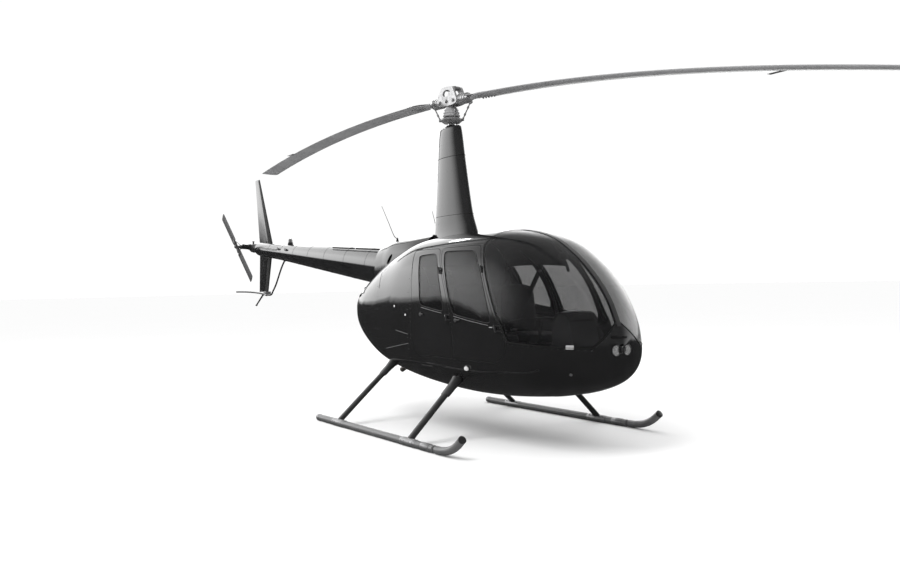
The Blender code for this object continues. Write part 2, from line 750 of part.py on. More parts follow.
def build_interior():
    """Floor, firewall, seats, console, stick and compass."""
    floor = to_object("cabin_floor", body_shape(SKIN + 2 * TOUCH), "satin_black")
    keep(floor, to_object("floor_region", box((0.175, -1, FLOOR_TOP - 0.02), (2.250, 1, FLOOR_TOP))))
    wall = to_object("firewall", body_shape(SKIN + 2 * TOUCH), "satin_black")
    keep(wall, to_object("wall_region", box((0.155, -1, 0.3), (0.1747, 1, 2.0))))
    for which, outline in (("front", FRONT_SEAT), ("rear", REAR_SEAT)):
        for side in ("right", "left"):
            shape = on_side(side, prism(outline, "Y", -SEAT_OUTER_Y, -SEAT_INNER_Y))
            to_object(f"{which}_seat_{side}", shape, "dark_leather", smooth=False)
    console = (
        (1.700, 0.6203), (2.080, 0.6203), (2.060, 0.800), (2.000, 0.960), (1.985, 1.080),
        (1.930, 1.150), (1.840, 1.155), (1.760, 1.080), (1.720, 0.860),
    )
    pedestal = prism(console, "Y", -0.150, 0.150)
    to_object("instrument_console", pedestal, "satin_black", smooth=False)
    post = [(1.330, 0.0, 0.6203), (1.330, 0.0, 0.780), (1.390, 0.0, 0.960), (1.400, 0.0, 1.075)]
    bar = [
        (1.400, -0.430, 1.020), (1.400, -0.300, 1.075), (1.400, 0.0, 1.085),
        (1.400, 0.300, 1.075), (1.400, 0.430, 1.020),
    ]
    stick = pipe("cyclic_stick", post, 0.016, "satin_black", resolution=2)
    join(stick, pipe("crossbar", bar, 0.012, resolution=2))
    case = to_object("compass", body_shape(SKIN + 2 * TOUCH), "satin_black")
    keep(case, to_object("compass_region", box((1.700, -0.035, 1.590), (1.780, 0.035, 1.800))))


def build_power():
    """The engine as one block, its cooling fan's housing behind it, and the exhaust."""
    to_object("engine_block", box(ENGINE_LOW, ENGINE_HIGH), "engine_metal", smooth=False)
    fan = rod((ENGINE_LOW.x - TOUCH, 0, FAN_Z), (FAN_X - 0.060, 0, FAN_Z), FAN_RADIUS, sides=32)
    scroll = to_object("fan_housing", fan, "satin_black")
    intake = rod((FAN_X, 0, FAN_Z), (FAN_X - 0.400, 0, FAN_Z), OUTLET_RADIUS - 0.02, sides=32)
    cut(scroll, to_object("fan_intake", intake))
    bend = (
        (-0.672, -0.180, 0.660), (-0.674, -0.182, 0.600), (-0.690, -0.188, 0.560),
        (-0.730, -0.195, 0.520), (-0.790, -0.200, 0.490),
    )
    exhaust = pipe("exhaust_pipe", bend, 0.028, "grey_metal")
    cut(bpy.data.objects["aft_cowl"], pipe("exhaust_hole", bend, 0.034))
    cut(exhaust, to_object("exhaust_trim", box((-1.0, -0.4, 0.6432), (-0.5, 0.0, 0.8))))


def build_mast_fairing():
    rings = []
    for rear, front, thickness, z in MAST_FAIRING:
        middle, half = (rear + front) / 2, (front - rear) / 2
        ring = []
        for i in range(24):
            angle = 2 * math.pi * i / 24
            along, across = math.cos(angle), math.sin(angle)
            ring.append(Vector((middle + half * along, thickness / 2 * across * (0.88 + 0.12 * along), z)))
        rings.append(ring)
    fairing = to_object("mast_fairing", loft(rings), "gloss_black")
    ridge_top = [(x, z_top + COWL_SEAT) for x, _, z_top in UPPER_COWL[:2]]
    side_view = [(-1.0, 1.0), (-1.0, 1.9068)] + ridge_top[::-1] + [(-0.2997, 1.0)]
    cut(fairing, to_object("ridge_trim", prism(side_view, "Y", -0.6, 0.6)))
    cut(fairing, bpy.data.objects["body_hole"])
    cut(fairing, to_object("mast_bore", rod((0, 0, 1.5), (0, 0, 3.2), MAST_RADIUS + RUNNING_GAP, sides=24)))


def build_tail():
    """Tail cone, gearbox, fins, stabilizer, guard, tail skid, beacon and aerials."""
    outer = [circle(x, radius) for x, radius in CONE]
    cone = to_object("tail_cone", loft(outer), "gloss_black")
    inner = [circle(x, radius - CONE_WALL) for x, radius in CONE]
    inner[0] = circle(CONE[0][0] + 0.1, CONE[0][1] - CONE_WALL)
    inner[-1] = circle(CONE[-1][0] + CONE_WALL, CONE[-1][1] - CONE_WALL)
    cut(cone, to_object("cone_hollow", loft(inner)))

    end_x = CONE[-1][0] - TOUCH
    box_rings = [circle(x, radius, 16) for x, radius in (
        (end_x, 0.062), (end_x - 0.10, 0.055), (-5.80, 0.058), (-5.84, 0.066), (-5.93, 0.066), (-5.97, 0.045),
    )]
    gearbox = to_object("tail_gearbox", loft(box_rings), "grey_metal")
    sleeve = rod((TAIL_HUB.x, -0.02, TAIL_HUB.z), (TAIL_HUB.x, TAIL_HUB.y + 0.062, TAIL_HUB.z), 0.030)
    join(gearbox, to_object("output_sleeve", sleeve))
    bore = rod((TAIL_HUB.x, -0.10, TAIL_HUB.z), (TAIL_HUB.x, -0.40, TAIL_HUB.z), TAIL_SHAFT + RUNNING_GAP)
    cut(gearbox, to_object("shaft_bore", bore))

    upper = wing((-5.650, FIN_Y, 2.0594), (-5.980, FIN_Y, 3.130), 0.560, 0.200, FIN_THICKNESS)
    lower = wing((-5.650, FIN_Y, 2.059), (-5.800, FIN_Y, 1.345), 0.560, 0.385, FIN_THICKNESS)
    cone_hole = to_object("cone_hole_fins", loft([circle(x, radius + TOUCH) for x, radius in CONE]))
    box_hole = to_object("gearbox_hole", loft([circle(x, radius, 16) for x, radius in (
        (end_x, 0.064), (end_x - 0.10, 0.057), (-5.80, 0.060), (-5.84, 0.068), (-5.93, 0.068), (-5.99, 0.060),
    )]))
    fins = (to_object("upper_fin", upper, "gloss_black"), to_object("lower_fin", lower, "gloss_black"))
    stub = box((-5.50, 0.03, 1.96), (-5.40, FIN_Y, 2.02))
    join(fins[1], to_object("fin_bracket", stub))
    for fin in fins:
        cut(fin, cone_hole, box_hole)
    z = cone_axis_z(STABILIZER_X)
    root, tip = (STABILIZER_X, 0.0, z), (STABILIZER_X, 0.1 + STABILIZER_SPAN, z)
    plane = wing(root, tip, STABILIZER_CHORD, STABILIZER_CHORD * 0.94, 0.030)
    cut(to_object("horizontal_stabilizer", plane, "gloss_black"), cone_hole)
    guard = pipe("tail_rotor_guard", GUARD, GUARD_RADIUS, "grey_metal", resolution=2)
    cut(guard, cone_hole)
    skid = pipe("tail_skid", TAIL_SKID, 0.014, "satin_black", resolution=2)
    fin_trim = wing((-5.650, FIN_Y, 2.059), (-5.800, FIN_Y, 1.345 - TOUCH), 0.560, 0.385, FIN_THICKNESS)
    cut(skid, to_object("fin_trim", fin_trim))
    top = cone_axis_z(BEACON_X) + CONE[1][1]
    beacon = rod((BEACON_X, 0, top - 0.02), (BEACON_X, 0, top + 0.055), 0.034, 0.030)
    dome = bmesh.new()
    bmesh.ops.create_uvsphere(dome, u_segments=16, v_segments=8, radius=0.0295)
    bmesh.ops.translate(dome, vec=(BEACON_X, 0, top + 0.057), verts=dome.verts)
    lamp = to_object("beacon_light", beacon, "lamp_glass")
    join(lamp, to_object("beacon_dome", dome))
    cut(lamp, cone_hole)
    for side, base, tip in (
        ("right", (-1.060, -0.075, 1.870), (-1.415, -0.075, 2.325)),
        ("left", (-0.480, 0.120, 1.880), (-0.615, 0.120, 2.205)),
    ):
        aerial = to_object(f"whip_antenna_{side}", rod(base, tip, 0.006, 0.003, sides=8), "grey_metal")
        ring = rod(base, (base[0], base[1], base[2] + 0.050), 0.022, 0.010, sides=12)
        join(aerial, to_object(f"antenna_foot_{side}", ring))
        cut(aerial, to_object(f"antenna_trim_{side}", loft(ridge_rings(COWL_SEAT))))


def build_lights():
    """Two landing lamps in the nose and a position lamp on each side."""
    skin_hole = to_object("skin_hole", body_shape(TOUCH))
    for side, y in (("right", -LAMP_Y), ("left", LAMP_Y)):
        lens = rod((2.36, y, LAMP_Z), (2.46, y, LAMP_Z), LAMP_RADIUS, sides=20)
        keep(to_object(f"landing_light_{side}", lens, "lamp_glass"), skin_hole)
        bore = rod((2.30, y, LAMP_Z), (2.50, y, LAMP_Z), LAMP_RADIUS + TOUCH, sides=20)
        cut(bpy.data.objects["cabin_shell"], to_object(f"lamp_hole_{side}", bore))
        flip = 1 if side == "right" else -1
        spot = Vector((NAV_LIGHT.x, NAV_LIGHT.y * flip, NAV_LIGHT.z))
        bead = bmesh.new()
        bmesh.ops.create_uvsphere(bead, u_segments=12, v_segments=8, radius=0.026)
        bmesh.ops.translate(bead, vec=spot, verts=bead.verts)
        light = to_object(f"position_light_{side}", bead, "lamp_glass")
        cut(light, to_object(f"position_trim_{side}", body_shape(-COWL_SEAT)))


def build_skids():
    """The skid tubes, worn flat along the strip that they stand on."""
    ground = to_object("ground", box((-2, -2, -1), (3, 2, 0)))
    for side, y in (("right", -SKID_Y), ("left", SKID_Y)):
        points = [(x, y, z) for x, z in SKID_PATH]
        cut(pipe(f"skid_{side}", points, SKID_RADIUS, "grey_metal", resolution=4), ground)


def blade(name, forward, parent):
    """One main blade; forward is 1 for the one over the nose and -1 for the other."""
    rings = []
    for r, chord, thickness in BLADE_STATIONS:
        z = HUB_Z - BLADE_DROOP * r * r - forward * TEETER_DROP * r / ROTOR_RADIUS
        ring = []
        for i in range(16):
            angle = 2 * math.pi * i / 16
            along = 0.5 * math.cos(angle)
            swell = 0.5 * math.sin(angle) * (0.62 + 0.76 * along)
            ring.append(Vector((forward * r, -forward * (chord * along - 0.03), z + thickness * swell)))
        rings.append(ring)
    return to_object(name, loft(rings), "blade_grey", parent)


def build_main_rotor():
    spin = empty("main_rotor_axis", (0, 0, HUB_Z), datum)
    mast = rod((0, 0, 2.80), (0, 0, HUB_SEAT_Z), MAST_RADIUS, sides=24)
    to_object("rotor_mast", mast, "grey_metal", spin)
    half = HUB_HALF_LENGTH
    slope = TEETER_DROP / ROTOR_RADIUS
    rise = half * slope
    outline = (
        (-half, HUB_Z - 0.040 + rise), (half, HUB_Z - 0.040 - rise),
        (half, HUB_Z + 0.030 - rise), (0.130, HUB_Z + 0.115), (0.095, HUB_Z + HUB_HEIGHT),
        (-0.095, HUB_Z + HUB_HEIGHT), (-0.130, HUB_Z + 0.115), (-half, HUB_Z + 0.030 + rise),
    )
    hub = to_object("rotor_hub", prism(outline, "Y", -0.060, 0.060), "grey_metal", spin, smooth=False)
    cut(hub, to_object("hub_seat", box((-0.08, -0.08, HUB_Z - 0.2), (0.08, 0.08, HUB_SEAT_Z + TOUCH))))
    plate = rod((0, 0, SWASH_Z - 0.022), (0, 0, SWASH_Z + 0.022), 0.115, sides=24)
    swash = to_object("swashplate", plate, "satin_black", spin)
    collar = rod((0, 0, SWASH_Z - 0.045), (0, 0, SWASH_Z + 0.060), 0.060, sides=24)
    join(swash, to_object("swash_collar", collar))
    bore = rod((0, 0, SWASH_Z - 0.1), (0, 0, SWASH_Z + 0.1), MAST_RADIUS + TOUCH, sides=24)
    cut(swash, to_object("swash_bore", bore))
    for name, forward in (("main_blade_front", 1), ("main_blade_rear", -1)):
        seat = prism(grown(outline, TOUCH), "Y", -0.2, 0.2)
        cut(blade(name, forward, spin), to_object(f"{name}_seat", seat))


def build_tail_rotor():
    spin = empty("tail_rotor_axis", TAIL_HUB, datum)
    shaft = rod(TAIL_HUB + Vector((0, 0.130, 0)), TAIL_HUB - Vector((0, 0.025, 0)), TAIL_SHAFT)
    hub = to_object("tail_rotor_hub", shaft, "grey_metal", spin)
    lean, tip = math.radians(TAIL_PARKED_DEG), math.radians(TAIL_TEETER_DEG)
    up = Vector((-math.cos(lean) * math.cos(tip), math.sin(tip), math.sin(lean) * math.cos(tip)))
    chordwise = Vector((math.sin(lean), 0.0, math.cos(lean)))
    yoke = wing(TAIL_HUB - up * 0.120, TAIL_HUB + up * 0.120, 0.060, 0.060, 0.045, chordwise)
    join(hub, to_object("tail_yoke", yoke))
    for name, way in (("tail_blade_upper", 1), ("tail_blade_lower", -1)):
        root = TAIL_HUB + up * way * (0.120 + TOUCH)
        end = TAIL_HUB + up * way * TAIL_RADIUS
        to_object(name, wing(root, end, TAIL_CHORD, TAIL_CHORD, 0.016, chordwise), "blade_grey", spin)


build_interior()
build_power()
build_mast_fairing()
build_tail()
build_lights()
build_skids()
build_main_rotor()
build_tail_rotor()
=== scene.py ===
"""The looks of a light four-seat helicopter, parked on its skids.

Lengths are metres. Pieces are shaped in the mast's frame, where x is measured forward from the
rotor mast, y to port and z up from the ground, and each is moved MAST_X forward when it is finished.
"""

import json
import math

import bmesh
import bpy
import numpy as np
from mathutils import Matrix, Vector

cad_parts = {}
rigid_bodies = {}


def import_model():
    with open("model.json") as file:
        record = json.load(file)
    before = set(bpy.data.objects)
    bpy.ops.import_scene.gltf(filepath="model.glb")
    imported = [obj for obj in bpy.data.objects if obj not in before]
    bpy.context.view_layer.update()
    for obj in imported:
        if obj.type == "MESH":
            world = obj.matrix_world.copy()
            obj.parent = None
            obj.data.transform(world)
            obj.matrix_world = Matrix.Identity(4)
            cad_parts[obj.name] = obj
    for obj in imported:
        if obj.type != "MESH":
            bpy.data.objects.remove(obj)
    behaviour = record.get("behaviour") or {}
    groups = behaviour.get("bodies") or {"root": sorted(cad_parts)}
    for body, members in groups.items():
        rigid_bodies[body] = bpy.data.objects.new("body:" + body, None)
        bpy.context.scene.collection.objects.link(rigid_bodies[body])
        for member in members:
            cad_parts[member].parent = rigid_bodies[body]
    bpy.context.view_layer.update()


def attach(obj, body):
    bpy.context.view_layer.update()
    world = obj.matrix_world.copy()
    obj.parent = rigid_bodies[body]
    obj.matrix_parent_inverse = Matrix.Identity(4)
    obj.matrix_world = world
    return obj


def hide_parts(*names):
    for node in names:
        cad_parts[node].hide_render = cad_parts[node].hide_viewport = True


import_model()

MAST_X = 0.815
HUB_Z = 3.28
ROTOR_RADIUS = 5.03
BLADE_DROOP = 0.018
TEETER_DROP = 0.288
TAIL_HUB = Vector((-5.886, -0.271, 2.058))
TAIL_RADIUS = 0.7365
SKIN = 0.025
DOOR_GAP = 0.005
SKID_Y = 1.09
SKID_Z = 0.0325
SKID_RADIUS = 0.034
X, Y, Z = Vector((1, 0, 0)), Vector((0, 1, 0)), Vector((0, 0, 1))

# The body's sections from nose to tail, as in the part's own source
# x, half_width, z_top, z_wide, z_bottom, n_up, n_low
BODY = (
    (2.442, 0.040, 0.905, 0.865, 0.825, 2.0, 2.0),
    (2.430, 0.130, 0.990, 0.860, 0.730, 2.0, 2.0),
    (2.380, 0.255, 1.120, 0.850, 0.635, 2.1, 2.1),
    (2.285, 0.370, 1.290, 0.850, 0.560, 2.2, 2.2),
    (2.120, 0.475, 1.475, 0.860, 0.500, 2.3, 2.3),
    (1.900, 0.555, 1.650, 0.880, 0.450, 2.45, 2.5),
    (1.620, 0.610, 1.800, 0.900, 0.415, 2.6, 2.6),
    (1.250, 0.640, 1.885, 0.920, 0.390, 2.8, 2.8),
    (0.800, 0.645, 1.900, 0.940, 0.385, 3.0, 2.9),
    (0.300, 0.640, 1.895, 0.960, 0.410, 3.0, 2.9),
    (-0.150, 0.625, 1.875, 0.980, 0.455, 2.9, 2.9),
    (-0.500, 0.600, 1.810, 1.010, 0.510, 2.7, 2.9),
    (-0.800, 0.575, 1.705, 1.050, 0.590, 2.6, 3.0),
    (-1.060, 0.540, 1.590, 1.100, 0.710, 2.5, 3.0),
    (-1.260, 0.490, 1.480, 1.140, 0.840, 2.4, 3.0),
    (-1.400, 0.420, 1.390, 1.170, 0.955, 2.3, 2.8),
    (-1.460, 0.340, 1.320, 1.180, 1.040, 2.2, 2.6),
)

# Seams seen from the side, (x, z) from top to bottom
WINDSHIELD_EDGE = (
    (1.183, 1.755), (1.260, 1.662), (1.346, 1.529), (1.445, 1.366),
    (1.521, 1.232), (1.568, 1.144), (1.637, 1.051), (1.707, 0.922),
)
A_POST = 0.032
MID_POST = (
    (0.530, 1.750), (0.693, 1.546), (0.760, 1.440), (0.825, 1.337),
    (0.880, 1.200), (0.925, 1.050), (0.955, 0.900), (0.962, 0.735),
)
MID_POST_WIDTH = 0.030
DOOR_TOP = 1.750
DOOR_BOTTOM = 0.735
FRONT_DOOR_FOOT = ((1.690, 0.870), (1.665, 0.805), (1.600, 0.753), (1.520, DOOR_BOTTOM))
REAR_DOOR_BACK = (
    (0.300, DOOR_BOTTOM), (0.232, 0.775), (0.205, 0.850), (0.200, 1.200),
    (0.180, 1.378), (0.130, 1.555), (0.050, 1.690), (0.005, DOOR_TOP),
)
FRONT_WINDOW = (
    (0.635, 1.715), (1.120, 1.705), (1.285, 1.529), (1.385, 1.367), (1.462, 1.200),
    (1.505, 1.090), (1.480, 1.072), (0.965, 1.142), (0.945, 1.160), (0.900, 1.250),
    (0.845, 1.360), (0.775, 1.500), (0.660, 1.670),
)
REAR_WINDOW = (
    (0.170, 1.690), (0.490, 1.702), (0.590, 1.590), (0.690, 1.420), (0.760, 1.260),
    (0.785, 1.180), (0.765, 1.165), (0.390, 1.215), (0.360, 1.240), (0.335, 1.380),
    (0.290, 1.500), (0.210, 1.650),
)
WINDSHIELD_SILL = ((1.715, 0.917), (1.963, 0.899), (2.155, 0.889), (2.293, 0.885), (2.378, 0.880))
NOSE_EDGE = ((-0.262, 0.876), (-0.187, 0.936), (-0.020, 1.075))
CENTRE_STRIP = 0.020
ROOF_FRONT_X = 1.165
ROOF_LINE = ((1.160, 1.768), (0.000, 1.768), (-0.350, 1.715), (-0.620, 1.610))
COWL_FRONT_X = 0.140
COWL_REAR_X = -0.620
CONE = ((-1.300, 0.232), (-4.600, 0.118), (-5.560, 0.101))
CONE_AXIS_X = -1.950
CONE_AXIS_Z = 1.676
CONE_RISE = 0.0924

UPPER_COWL = (
    (-0.300, 0.200, 1.925),
    (-0.600, 0.250, 1.912),
    (-0.950, 0.258, 1.906),
    (-1.150, 0.245, 1.885),
    (-1.320, 0.236, 1.855),
)
RIDGE_FOOT = 1.480
# The fairing round the mast: x of its trailing and leading edge, thickness, z
FAIRING = (
    (-0.400, 0.440, 0.250, 1.860),
    (-0.362, 0.402, 0.205, 1.960),
    (-0.335, 0.330, 0.185, 2.150),
    (-0.280, 0.235, 0.165, 2.600),
    (-0.232, 0.168, 0.150, 2.960),
    (-0.180, 0.130, 0.110, 3.020),
)
FRONT_HINGE = (Vector((1.310, -0.569, 1.536)), Vector((1.585, -0.632, 1.028)))
REAR_HINGE = (Vector((0.672, -0.604, 1.539)), Vector((0.865, -0.660, 1.110)))
FAN_Z = 1.060
BEACON_X = -4.360
FIN_Y = 0.125
STABILIZER_X = -4.920
GUARD = (
    (-4.540, -0.020, 1.8030), (-4.640, -0.015, 1.740), (-4.780, 0.000, 1.645),
    (-5.000, 0.020, 1.465), (-5.190, 0.040, 1.356), (-5.280, 0.052, 1.312),
    (-5.380, 0.058, 1.296), (-5.560, 0.060, 1.305), (-5.900, 0.050, 1.333),
    (-6.300, 0.010, 1.349), (-6.640, -0.030, 1.352),
)
TAIL_SKID = ((-5.760, 0.118, 1.333), (-5.900, 0.105, 1.240), (-6.060, 0.090, 1.130))
FRONT_TUBE_X = 0.909
REAR_TUBE_X = -0.511
FRONT_TUBE = ((-1.090, 0.034), (-1.055, 0.085), (-0.616, 0.507), (-0.560, 0.545), (-0.460, 0.560))
REAR_TUBE = ((-1.090, 0.034), (-1.055, 0.085), (-0.488, 0.577), (-0.430, 0.610), (-0.340, 0.620))
SWASH_Z = 3.085
# The main blade's rows: distance from the mast, chord, thickness
BLADE_ROWS = (
    (0.330, 0.088, 0.050),
    (0.450, 0.150, 0.040),
    (0.560, 0.254, 0.030),
    (1.400, 0.254, 0.028),
    (3.300, 0.254, 0.027),
    (4.200, 0.254, 0.026),
    (5.030, 0.254, 0.022),
)
SKID_PATH = (
    (-1.020, SKID_Z), (-0.400, SKID_Z), (0.300, SKID_Z), (1.000, SKID_Z), (1.360, SKID_Z),
    (1.470, 0.0385), (1.570, 0.058), (1.670, 0.103), (1.762, 0.172),
)

bpy.context.scene.world = bpy.data.worlds.new("studio")
bpy.context.scene.view_settings.view_transform = "Standard"
workshop = bpy.data.collections.new("workshop")
bpy.context.scene.collection.children.link(workshop)
MATERIALS = {}


def new_group(name, inputs, outputs):
    """An effect group with its input values and outputs named."""
    group = bpy.data.node_groups.new(name, "ShaderNodeTree")
    for label, kind, value in inputs:
        socket = group.interface.new_socket(name=label, in_out="INPUT", socket_type=kind)
        socket.default_value = value
    for label, kind in outputs:
        group.interface.new_socket(name=label, in_out="OUTPUT", socket_type=kind)
    return group, group.nodes.new("NodeGroupInput"), group.nodes.new("NodeGroupOutput")


def node(tree, kind, **settings):
    made = tree.nodes.new(kind)
    for key, value in settings.items():
        setattr(made, key, value)
    return made


def grime_group():
    """Soft patches of haze: a colour and a roughness that change a little over the surface."""
    group, given, out = new_group(
        "surface_haze",
        (("Colour", "NodeSocketColor", (0.5, 0.5, 0.5, 1)), ("Haze Colour", "NodeSocketColor", (0.5, 0.5, 0.5, 1)),
         ("Amount", "NodeSocketFloat", 0.1), ("Scale", "NodeSocketFloat", 3.0), ("Roughness", "NodeSocketFloat", 0.3),
         ("Roughness Spread", "NodeSocketFloat", 0.1)),
        (("Colour", "NodeSocketColor"), ("Roughness", "NodeSocketFloat")),
    )
    place = node(group, "ShaderNodeTexCoord")
    noise = node(group, "ShaderNodeTexNoise")
    noise.inputs["Detail"].default_value = 5.0
    noise.inputs["Roughness"].default_value = 0.6
    group.links.new(place.outputs["Object"], noise.inputs["Vector"])
    group.links.new(given.outputs["Scale"], noise.inputs["Scale"])
    band = node(group, "ShaderNodeMapRange")
    band.inputs["From Min"].default_value = 0.35
    band.inputs["From Max"].default_value = 0.75
    group.links.new(noise.outputs["Fac"], band.inputs["Value"])
    amount = node(group, "ShaderNodeMath", operation="MULTIPLY")
    group.links.new(band.outputs["Result"], amount.inputs[0])
    group.links.new(given.outputs["Amount"], amount.inputs[1])
    mixed = node(group, "ShaderNodeMix", data_type="RGBA")
    group.links.new(amount.outputs[0], mixed.inputs["Factor"])
    group.links.new(given.outputs["Colour"], mixed.inputs["A"])
    group.links.new(given.outputs["Haze Colour"], mixed.inputs["B"])
    group.links.new(mixed.outputs["Result"], out.inputs["Colour"])
    rough = node(group, "ShaderNodeMath", operation="MULTIPLY_ADD")
    group.links.new(band.outputs["Result"], rough.inputs[0])
    group.links.new(given.outputs["Roughness Spread"], rough.inputs[1])
    group.links.new(given.outputs["Roughness"], rough.inputs[2])
    group.links.new(rough.outputs[0], out.inputs["Roughness"])
    return group


def grain_group():
    """A height for fine grain, from smooth noise to the cells of leather."""
    group, given, out = new_group(
        "fine_grain",
        (("Scale", "NodeSocketFloat", 200.0), ("Cells", "NodeSocketFloat", 0.0)),
        (("Height", "NodeSocketFloat"),),
    )
    place = node(group, "ShaderNodeTexCoord")
    noise = node(group, "ShaderNodeTexNoise")
    cells = node(group, "ShaderNodeTexVoronoi", feature="DISTANCE_TO_EDGE")
    for texture in (noise, cells):
        group.links.new(place.outputs["Object"], texture.inputs["Vector"])
        group.links.new(given.outputs["Scale"], texture.inputs["Scale"])
    mixed = node(group, "ShaderNodeMix", data_type="FLOAT")
    group.links.new(given.outputs["Cells"], mixed.inputs["Factor"])
    group.links.new(noise.outputs["Fac"], mixed.inputs["A"])
    group.links.new(cells.outputs["Distance"], mixed.inputs["B"])
    group.links.new(mixed.outputs["Result"], out.inputs["Height"])
    return group


HAZE = grime_group()
GRAIN = grain_group()

# name: colour, haze colour, haze amount, haze scale, roughness, spread, metallic, coat, grain scale, grain depth, cells
PAINTS = {
    "gloss_black": ((0.010, 0.010, 0.0102), (0.018, 0.018, 0.0185), 0.5, 1.3, 0.045, 0.03, 0.0, 0.15, 60.0, 0.0003, 0.0),
    "tail_black": ((0.007, 0.007, 0.0075), (0.020, 0.020, 0.021), 0.5, 2.0, 0.075, 0.05, 0.0, 0.3, 30.0, 0.0006, 0.0),
    "satin_black": ((0.012, 0.012, 0.0125), (0.030, 0.030, 0.030), 0.6, 6.0, 0.36, 0.12, 0.0, 0.0, 240.0, 0.0003, 0.0),
    "trim_black": ((0.004, 0.004, 0.004), (0.012, 0.012, 0.012), 0.5, 20.0, 0.55, 0.15, 0.0, 0.0, 400.0, 0.0003, 0.0),
    "skid_grey": ((0.13, 0.13, 0.132), (0.19, 0.19, 0.19), 0.8, 7.0, 0.34, 0.16, 0.35, 0.0, 160.0, 0.0003, 0.0),
    "sleeve_grey": ((0.30, 0.30, 0.305), (0.20, 0.20, 0.20), 0.7, 14.0, 0.33, 0.15, 0.75, 0.0, 300.0, 0.0003, 0.0),
    "blade_grey": ((0.23, 0.23, 0.235), (0.30, 0.30, 0.305), 0.7, 2.5, 0.34, 0.14, 0.0, 0.15, 120.0, 0.0003, 0.0),
    "blade_pale": ((0.52, 0.52, 0.525), (0.40, 0.40, 0.40), 0.7, 5.0, 0.36, 0.14, 0.0, 0.1, 120.0, 0.0003, 0.0),
    "blade_edge": ((0.42, 0.42, 0.425), (0.30, 0.30, 0.30), 0.7, 9.0, 0.30, 0.14, 0.85, 0.0, 120.0, 0.0002, 0.0),
    "hub_metal": ((0.46, 0.46, 0.465), (0.30, 0.30, 0.30), 0.7, 18.0, 0.32, 0.16, 0.75, 0.0, 260.0, 0.0003, 0.0),
    "dark_metal": ((0.055, 0.055, 0.057), (0.10, 0.10, 0.10), 0.7, 18.0, 0.38, 0.18, 0.6, 0.0, 260.0, 0.0004, 0.0),
    "bright_metal": ((0.72, 0.72, 0.725), (0.50, 0.50, 0.50), 0.6, 30.0, 0.20, 0.14, 1.0, 0.0, 300.0, 0.0002, 0.0),
    "exhaust_metal": ((0.16, 0.145, 0.135), (0.07, 0.065, 0.06), 0.9, 16.0, 0.45, 0.2, 0.8, 0.0, 260.0, 0.0005, 0.0),
    "engine_metal": ((0.20, 0.20, 0.20), (0.09, 0.09, 0.09), 0.9, 9.0, 0.5, 0.2, 0.5, 0.0, 120.0, 0.0010, 0.0),
    "black_leather": ((0.020, 0.020, 0.021), (0.042, 0.042, 0.043), 0.5, 10.0, 0.38, 0.12, 0.0, 0.1, 420.0, 0.0012, 1.0),
    "leather_seam": ((0.050, 0.050, 0.052), (0.080, 0.080, 0.082), 0.5, 60.0, 0.5, 0.1, 0.0, 0.0, 700.0, 0.0010, 0.3),
    "carpet": ((0.016, 0.016, 0.017), (0.034, 0.034, 0.036), 0.8, 55.0, 0.95, 0.04, 0.0, 0.0, 900.0, 0.0040, 0.2),
    "moulded_grey": ((0.045, 0.045, 0.047), (0.070, 0.070, 0.072), 0.5, 12.0, 0.5, 0.12, 0.0, 0.0, 500.0, 0.0008, 0.5),
    "panel_grey": ((0.16, 0.16, 0.165), (0.22, 0.22, 0.22), 0.5, 12.0, 0.45, 0.12, 0.0, 0.0, 400.0, 0.0005, 0.3),
    "webbing": ((0.028, 0.028, 0.030), (0.060, 0.060, 0.062), 0.6, 90.0, 0.8, 0.08, 0.0, 0.0, 1500.0, 0.0010, 0.0),
    "pale_marking": ((0.46, 0.46, 0.46), (0.36, 0.36, 0.36), 0.7, 12.0, 0.35, 0.12, 0.0, 0.1, 300.0, 0.0002, 0.0),
    "pale_dial": ((0.62, 0.62, 0.60), (0.45, 0.45, 0.44), 0.5, 60.0, 0.45, 0.1, 0.0, 0.0, 700.0, 0.0002, 0.0),
    "lamp_silver": ((0.80, 0.80, 0.80), (0.60, 0.60, 0.60), 0.5, 40.0, 0.16, 0.1, 0.95, 0.0, 220.0, 0.0010, 1.0),
    "boot_grey": ((0.30, 0.30, 0.305), (0.20, 0.20, 0.20), 0.6, 24.0, 0.55, 0.1, 0.0, 0.0, 400.0, 0.0006, 0.0),
    # A near-black, fully rough finish, used only as painted shade behind the ridge's inlets.
    "deep_black": ((0.004, 0.004, 0.004), (0.007, 0.007, 0.007), 0.5, 20.0, 0.95, 0.03, 0.0, 0.0, 400.0, 0.0002, 0.0),
    "post_rivet": ((0.10, 0.10, 0.10), (0.16, 0.16, 0.16), 0.6, 40.0, 0.25, 0.1, 0.3, 0.0, 400.0, 0.0002, 0.0),
    "pale_button": ((0.85, 0.85, 0.85), (0.70, 0.70, 0.70), 0.5, 40.0, 0.35, 0.1, 0.0, 0.0, 400.0, 0.0002, 0.0),
    "edge_glint": ((0.16, 0.16, 0.16), (0.10, 0.10, 0.10), 0.6, 12.0, 0.3, 0.1, 0.3, 0.0, 400.0, 0.0002, 0.0),
    "blank_plate": ((0.42, 0.42, 0.42), (0.32, 0.32, 0.32), 0.6, 30.0, 0.4, 0.1, 0.2, 0.0, 400.0, 0.0002, 0.0),
    "pale_pad": ((0.72, 0.72, 0.72), (0.60, 0.60, 0.60), 0.5, 12.0, 0.6, 0.1, 0.0, 0.0, 400.0, 0.0002, 0.0),
    "liner_grey": ((0.030, 0.030, 0.031), (0.045, 0.045, 0.046), 0.6, 20.0, 0.8, 0.1, 0.0, 0.0, 500.0, 0.0010, 0.0),
    "pale_floor": ((0.92, 0.92, 0.92), (0.90, 0.90, 0.90), 0.4, 0.4, 0.75, 0.1, 0.0, 0.0, 20.0, 0.0004, 0.0),
}


